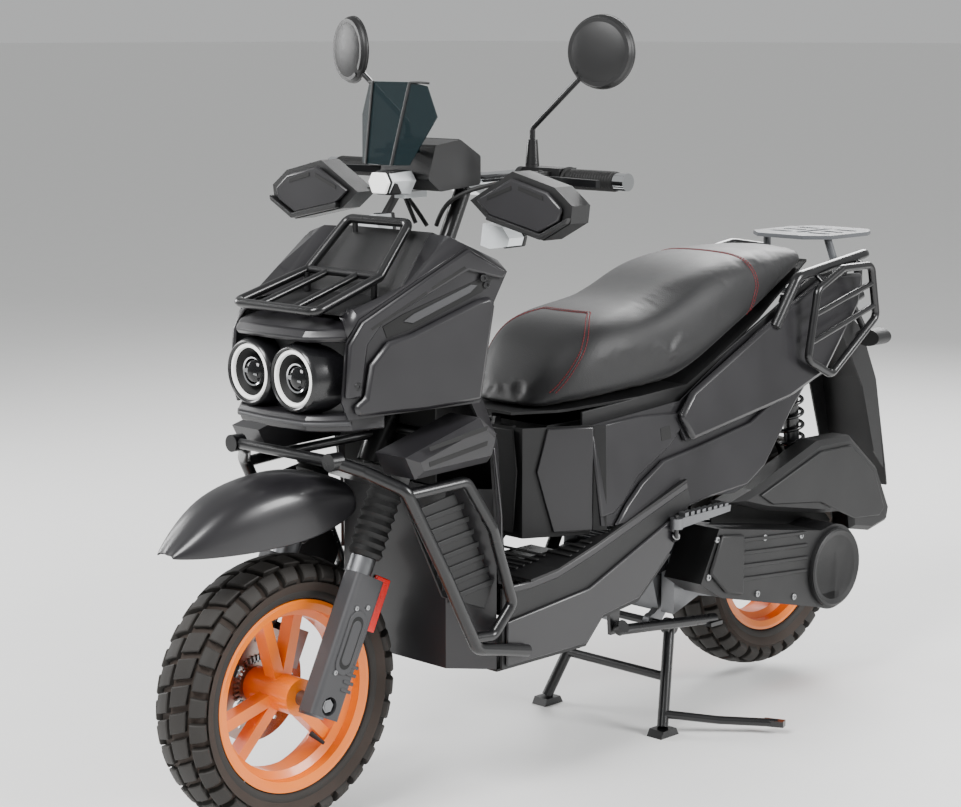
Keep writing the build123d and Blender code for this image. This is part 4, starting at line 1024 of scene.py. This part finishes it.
flank_piece("flank_hip", SATIN_ABS,
            [(602, 636), (740, 640), (846, 634), (852, 600), (812, 572), (716, 530), (668, 488),
             (640, 474), (606, 472)], 0, 7, 6)
flank_piece("flank_sweep", SATIN_ABS,
            [(640, 452), (676, 486), (724, 520), (790, 552), (900, 566), (1060, 590),
             (1210, 652), (1276, 662), (1196, 598), (1092, 500), (1030, 470), (900, 462),
             (760, 444)], 0, 10, 8)
flank_piece("flank_wing", SATIN_ABS,
            [(840, 626), (884, 668), (1120, 766), (1330, 852), (1466, 848), (1440, 784),
             (1305, 660), (1180, 622), (870, 578)], 6, 22, 12)
# A dark patch on the flank: painted shade in the screw hollow.
flank_piece("screw_recess", SHADE_DARK_PP, [(792, 586), (820, 588), (820, 612), (792, 610)],
            6.6, 7.6, 0.3)
facet("pedestal_cheek", SATIN_ABS,
      [(128, 530, 638), (172, 606, 638), (172, 606, 446), (134, 540, 446), (118, 512, 560)], 5,
      (0.878, -0.478, 0), 4)
facet("pedestal_face", GRAINED_PP,
      [(0, 489, 636), (86, 489, 636), (96, 489, 560), (86, 489, 446), (0, 489, 446)], 4,
      (0, -1, 0), 3)
facet("seat_rim", GRAINED_PP,
      [(146, 606, 600), (146, 606, 661), (146, 900, 677), (146, 1124, 777), (146, 1366, 886),
       (146, 1366, 800), (146, 1124, 690), (146, 900, 600)], 6, (-1, 0, 0), 1)
facet("flank_post", GRAINED_PP,
      [(164, 598, 446), (164, 598, 640), (190, 622, 640), (194, 622, 446)], 3, (-0.7, 0.7, 0), 1)
facet("skirt_edge", SATIN_ABS,
      [(205, 340, 392), (205, 408, 391), (205, 480, 399), (205, 582, 427), (205, 838, 509),
       (205, 842, 494), (205, 584, 412), (205, 480, 384), (205, 408, 377), (205, 340, 378)], 7,
      (-1, 0, 0), 3)
facet("skirt_keel", SATIN_ABS,
      [(203, 345, 330), (203, 560, 352), (203, 780, 440), (203, 826, 440), (203, 790, 384),
       (203, 696, 308), (203, 598, 294), (203, 552, 250), (203, 345, 250)], 6, (1, 0, 0), 5)
facet("shield_edge", SATIN_ABS,
      [(199, 318, 640), (199, 336, 520), (199, 336, 400), (206, 330, 400), (206, 330, 520),
       (206, 312, 640)], 5, (0, 1, 0), 2)

# %% [markdown]
# ## Fork legs
# The grey guards have a sunken panel with a screw at each end and short cooling ribs behind.
# A red reflector stands behind the left and right guards.

# %% Fork guard details
GUARD_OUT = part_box("slider_covers")[1][0] * 1000


def fork_shape(name, finish, outline, across, thickness, bevel):
    """A plate on the fork guard; outline holds (along, behind) in millimetres."""
    both_sides(name, finish, [on_fork(across, a, b) for a, b in outline], thickness, (1, 0, 0),
               bevel, "fork_lowers")


def stadium(low, high, middle, half):
    """A long slot outline with round ends."""
    ends = []
    for centre, start in ((high, -90), (low, 90)):
        for k in range(9):
            angle = math.radians(start + k * 22.5)
            ends.append((centre + half * math.cos(angle), middle + half * math.sin(angle)))
    return ends


fork_shape("guard_frame", GREY_PP, stadium(74, 148, 0, 19), GUARD_OUT - 0.5, 3.0, 1.2)
# The dark panel shows as a thin ring between the grey frame and the core: painted shade in the
# groove.
fork_shape("guard_panel", SHADE_DARK_PP, stadium(78, 144, 0, 13), GUARD_OUT + 1.0, 1.8, 0.2)
fork_shape("guard_core", GREY_PP, stadium(82, 140, 0, 10), GUARD_OUT + 1.0, 2.6, 1.0)
for number in range(4):
    along = 30 + number * 14
    fork_shape(f"guard_rib_{number}", GREY_PP,
               [(along, 12), (along + 6, 12), (along + 6, 36), (along, 36)], GUARD_OUT - 2, 4, 1.2)
for side, sign in SIDES:
    spots = [on_fork(sign * 96, a, b) for a, b in ((236, 38), (236, 72), (142, 72), (142, 38))]
    # The reflector's weak glow is painted light.
    fixed_plate("fork_lowers", f"fork_reflector_{side}", RED_PRISM, spots, 7, (sign, 0, 0), 2)
    fixed_plate("fork_lowers", f"reflector_bracket_{side}", BLACK_COAT,
                [p - Vector((sign * 0.002, 0, 0)) for p in spots], 2, (-sign, 0, 0))

# %% [markdown]
# ## Front fender
# The fender is one long beak. A skin is lofted through arches along its length and given a
# wall, so that it bends smoothly over the wheel.

# %% Fender skin
FENDER = [
    # back, half width, lower edge, shoulder, crest
    (-236, 20, 508, 511, 514), (-200, 44, 505, 530, 546), (-150, 60, 504, 556, 586),
    (-95, 70, 503, 574, 606), (-20, 76, 505, 586, 617), (50, 77, 514, 588, 616),
    (118, 76, 540, 572, 595),
]
fender_bm = bmesh.new()
fender_rows = []
for back, half, low, shoulder, crest in FENDER:
    side = [(half, low), (half, (low + shoulder) / 2), (half * 0.96, shoulder),
            (half * 0.72, crest - (crest - shoulder) * 0.25), (half * 0.3, crest - 2)]
    arch = [at(x, back, z) for x, z in side] + [at(0, back, crest)]
    arch += [at(-x, back, z) for x, z in reversed(side)]
    fender_rows.append([fender_bm.verts.new(p) for p in arch])
for low_row, high_row in zip(fender_rows, fender_rows[1:]):
    for k in range(len(low_row) - 1):
        fender_bm.faces.new((low_row[k], high_row[k], high_row[k + 1], low_row[k + 1]))
fender_bm.normal_update()
fender = finish_mesh("fender_skin", fender_bm, SATIN_ABS, 0)
shade_smooth(fender.data)
wall = fender.modifiers.new("wall", "SOLIDIFY")
wall.thickness = 0.003
wall.offset = -1
rounder = fender.modifiers.new("smooth", "SUBSURF")
rounder.levels = rounder.render_levels = 2
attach(fender, "steering")
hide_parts("front_fender")

# %% [markdown]
# ## Mirrors
# A round glass in a domed shell. The shell is turned on a lathe about the mirror's own
# forward direction, and the glass is a thin disc on its back.

# %% Mirror shells
MIRROR_PLAIN = grained("mirror_glass", "b9c0c4", "b4bbc0", 0.03, 0.01, 5.0, 0.0, metal=1.0)
for side, sign in SIDES:
    centre = at(sign * 310, 461, 1309)
    ahead = Vector((sign * math.sin(math.radians(15)), -math.cos(math.radians(15)), 0))
    shell = turned(f"mirror_shell_{side}", GRAINED_PP,
                   [(-6, 57), (-6.5, 60.5), (-4, 62), (0, 61.4), (5, 57), (9, 48), (12, 34),
                    (13.6, 18), (14, 0.1)], centre, ahead, smooth=60)
    glass = turned(f"mirror_glass_{side}", MIRROR_PLAIN, [(-7.6, 0.1), (-7.6, 56), (-6.4, 57)],
                   centre, ahead, smooth=30)
    for piece in (shell, glass):
        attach(piece, "mirror_" + side)

# %% [markdown]
# ## Screws
# One socket-head screw, copied to every place where a panel is fastened.

# %% Screw heads
screw = turned("screw", BLACK_COAT, [(0, 6.5), (2.4, 6.5), (3.2, 5.6), (3.2, 3.0), (1.6, 2.8),
                                     (1.6, 0.1)], Vector((0, 0, 0)), (0, 0, 1), steps=16)
small = turned("small_screw", ZINC, [(0, 4.5), (1.8, 4.5), (2.4, 3.8), (2.4, 2.2), (1.2, 2.0),
                                     (1.2, 0.1)], Vector((0, 0, 0)), (0, 0, 1), steps=12)
panel_spots = [(on_panel(a, b, h), OUT) for a, b, h in
               ((270, 924, 1.0), (262, 936, 5.0), (150, 832, 8.0), (22, 772, 6.0))]
panel_spots += [(Vector((-p.x, p.y, p.z)), Vector((-d.x, d.y, d.z))) for p, d in panel_spots]
grown("panel_screws", spot_object(panel_spots), SPOT_TREE, {"Shape": screw}, BLACK_COAT, "chassis")
fork_spots = [(on_fork(s * GUARD_OUT, a, b), (s, 0, 0)) for s in (-1, 1)
              for a, b in ((168, -12), (56, -12), (176, 12))]
grown("guard_screws", spot_object(fork_spots), SPOT_TREE, {"Shape": small}, ZINC, "fork_lowers")
cover_spots = [(at(204, b, z), (1, 0, 0)) for b, z in
               ((930, 380), (905, 310), (960, 280), (1080, 360), (1200, 345), (1180, 222),
                (1060, 250))]
grown("cover_screws", spot_object(cover_spots), SPOT_TREE, {"Shape": screw}, ZINC, "rear_unit")
bpy.data.objects.remove(screw)
bpy.data.objects.remove(small)

# %% [markdown]
# ## Engine covers
# The belt cover has raised ribs along it and a dished round end. The airbox lid carries a
# raised edge.

# %% Cover ribs
for number, (top, rear) in enumerate(((376, 0), (350, 6), (324, 8), (298, 4))):
    fixed_plate("rear_unit", f"cover_rib_{number}", GRAINED_PP,
                [at(203, 940, top), at(203, 1214 + rear, top - 24), at(203, 1214 + rear, top - 31),
                 at(203, 940, top - 8)], 5, (1, 0, 0), 1.5)
dish = turned("cover_dish", GRAINED_PP, [(0, 80), (4, 80), (6, 76), (4, 70), (2, 66), (2, 0.1)],
              at(210, 1311, 262), (1, 0, 0))
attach(dish, "rear_unit")
fixed_plate("rear_unit", "airbox_lid", GRAINED_PP,
            [at(181, b, z) for b, z in ((1090, 440), (1288, 502), (1392, 502), (1478, 436),
                                        (1518, 352), (1500, 336), (1410, 344), (1290, 396),
                                        (1130, 416))], 6, (1, 0, 0), 4)

fixed_plate("rear_unit", "hugger", SHADE_DARK_PP,
            [at(118, b, z) for b, z in ((1020, 430), (1344, 400), (1420, 330), (1400, 300),
                                        (1200, 330), (1020, 350))], 4, (-1, 0, 0), 1)
fixed_plate("rear_unit", "cover_block", GRAINED_PP,
            [at(203, b, z) for b, z in ((905, 318), (940, 388), (1010, 378),
                                        (1010, 258), (958, 270))], 8, (1, 0, 0), 4)

# %% [markdown]
# ## Hand guards and screen
# The guards have a raised, faceted middle with two long slots. The screen's folds are dark
# moulded strips.

# %% Guard faces and screen folds
facet("guard_face", SATIN_ABS,
      [(160, 321, 1062), (244, 321, 1102), (326, 321, 1083), (358, 321, 1058), (352, 321, 1036),
       (306, 321, 1014), (196, 321, 1036)], 8, (0, -1, 0), 5, body="steering")
# The slots are thin dark plates on the guard face: painted shade in the slots.
for number, corners in enumerate((((190, 1070), (246, 1090)), ((262, 1090), (318, 1076)))):
    (x0, z0), (x1, z1) = corners
    facet(f"guard_slot_{number}", SHADE_DARK_PP,
          [(x0, 313, z0), (x1, 313, z1), (x1, 313, z1 - 7), (x0, 313, z0 - 7)], 0.8, (0, -1, 0),
          0.2, body="steering")
facet("guard_lip", GRAINED_PP,
      [(188, 322, 1030), (312, 322, 1004), (370, 322, 1034), (374, 322, 1044), (312, 322, 1014),
       (190, 322, 1040)], 12, (0, -1, 0), 2, body="steering")
for side, sign in SIDES:
    fold = pipe(f"screen_fold_{side}", GRAINED_PP,
                [at(sign * 32, 241, 1118), at(sign * 39, 256, 1188), at(sign * 46, 272, 1257)],
                2.6)
    edge = pipe(f"screen_edge_{side}", GRAINED_PP,
                [at(sign * 46, 273, 1257), at(sign * 62, 280, 1258), at(sign * 76, 290, 1256)],
                2.0)
    for piece in (fold, edge):
        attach(piece, "steering")
fixed_plate("steering", "dash_display", DARK_LENS,
            [at(x, b, z) for x, b, z in ((-50, 386, 1157), (50, 386, 1157), (50, 424, 1134),
                                         (-50, 424, 1134))], 1.5, (0, 0.6, 0.9), 0.4)

# %% [markdown]
# ## Tail
# The tail lamp is red acrylic between two small clear indicators. The exhaust carries a slotted
# alloy heat shield.

# %% Tail lamp and heat shield
fixed_plate("chassis", "tail_lens", RED_PRISM,
            [at(-62, 1573, 828), at(62, 1573, 828), at(62, 1584.5, 801),
             at(-62, 1584.5, 801)], 5, (0, 0.93, 0.37), 2)
for side, sign in SIDES:
    fixed_plate("chassis", f"rear_indicator_{side}", INDICATOR_LENS,
                [at(sign * x, 1572, z) for x, z in ((104, 696), (124, 690), (144, 696),
                                                    (150, 706), (144, 716), (124, 722),
                                                    (104, 716))], 4, (0, 1, 0), 2)
EXHAUST_FACE = -197
guard_outline = [(1100, 270), (1160, 286), (1380, 318), (1398, 300), (1380, 278), (1160, 244),
                 (1110, 238)]
fixed_plate("rear_unit", "exhaust_guard", CAST_ALLOY,
            [at(EXHAUST_FACE, b, z) for b, z in guard_outline], 3, (-1, 0, 0), 1.4)
# The cuts are thin dark plates on the shield: painted shade in the openings.
for number in range(5):
    start = 1150 + number * 42
    fixed_plate("rear_unit", f"guard_cut_{number}", SHADE_DARK_PP,
                [at(-200, b, z + number * 6) for b, z in ((start, 250), (start + 26, 254),
                                                          (start + 32, 270),
                                                          (start + 6, 266))], 0.6, (-1, 0, 0))

# %% [markdown]
# ## Floor ribs and grips
# Rubber ribs across the foot boards stop boots from slipping. The grips have ring ribs.

# %% Floor ribs
for back, up in ((428, 399), (446, 401), (464, 403), (482, 405.5), (500, 410.5)):
    fixed_plate("chassis", f"floor_rib_{back}", SOFT_RUBBER,
                [at(-150, back, up), at(150, back, up), at(150, back + 6, up + 1),
                 at(-150, back + 6, up + 1)], 3, (0, 0, 1), 1)
for number in range(12):
    back = 520 + number * 18
    up = 402 + (back - 480) * 0.2745 + 1
    inner = 128 + max(0, min(58, (back - 500) * 0.55))
    if inner > 176:
        break
    facet(f"board_rib_{number}", SOFT_RUBBER,
          [(inner, back, up), (196, back, up), (196, back + 6, up + 1.6),
           (inner, back + 6, up + 1.6)], 3, (0, 0, 1), 1)

# %% Grip ribs
GRIP_BACK, GRIP_UP, GRIP_INNER, GRIP_OUTER = 466, 1094, 250, 340
ring_shape = turned("ring", SOFT_RUBBER, [(-1.6, 15.5), (-1.0, 17.4), (1.0, 17.4), (1.6, 15.5)],
                    Vector((0, 0, 0)), (0, 0, 1), steps=28, closed=True)
for side, body, ends in (("left", "steering", (GRIP_INNER, GRIP_OUTER)),
                         ("right", "throttle", (-GRIP_OUTER, -GRIP_INNER))):
    bar = [at(across, GRIP_BACK, GRIP_UP) for across in ends]
    grown(f"grip_ribs_{side}", line_object(bar), LINE_TREE,
          {"Shape": ring_shape, "Step": 0.006}, SOFT_RUBBER, body)
bpy.data.objects.remove(ring_shape)

# %% [markdown]
# ## Cockpit
# The position lamp behind the screen is a white six-sided lens. Control cables and a brake
# hose run from the bar down behind the tray.

# %% Position lamp and cables
POSITION_LAMP = ((-26, 1088), (-16, 1104), (16, 1104), (26, 1088), (16, 1068), (-16, 1068))
LAMP_MIDDLE, HOOD_GROWTH = 1086, 1.14
fixed_plate("steering", "position_lamp", RING_WHITE, [at(x, 246, z) for x, z in POSITION_LAMP], 6,
            (0, -1, 0), 2)
fixed_plate("steering", "position_lamp_hood", GRAINED_PP,
            [at(x * HOOD_GROWTH, 250, LAMP_MIDDLE + (z - LAMP_MIDDLE) * HOOD_GROWTH)
             for x, z in POSITION_LAMP], 52, (0, 1, 0), 3)
for side, sign in SIDES:
    stalk = pipe(f"signal_stalk_{side}", SOFT_RUBBER,
                 [at(sign * 152, 392, 1006), at(sign * 155, 426, 1045), at(sign * 158, 458, 1080)],
                 8)
    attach(stalk, "steering")
    fixed_plate("steering", f"signal_shell_{side}", GRAINED_PP,
                [at(sign * x, 396, z) for x, z in ((126, 978), (150, 973), (194, 980),
                                                   (199, 997), (181, 1016), (132, 1020))],
                8, (0, 1, 0), 2)
runs = {
    "brake_hose": [(-150, 445, 1096), (-120, 400, 1090), (-70, 360, 1070), (-40, 350, 1040),
                   (-24, 352, 1010)],
    "throttle_cable": [(-160, 450, 1088), (-130, 410, 1070), (-80, 380, 1056), (-40, 372, 1030),
                       (-20, 376, 1004)],
    "switch_cable": [(150, 446, 1090), (120, 402, 1084), (74, 366, 1066), (42, 352, 1040),
                     (24, 356, 1008)],
}
for name, spots in runs.items():
    cable = pipe(name, SOFT_RUBBER, [at(*p) for p in spots], 4)
    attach(cable, "steering")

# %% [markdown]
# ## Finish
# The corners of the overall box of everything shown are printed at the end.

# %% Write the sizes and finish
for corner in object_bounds():
    print("corner:", [round(v, 4) for v in corner])
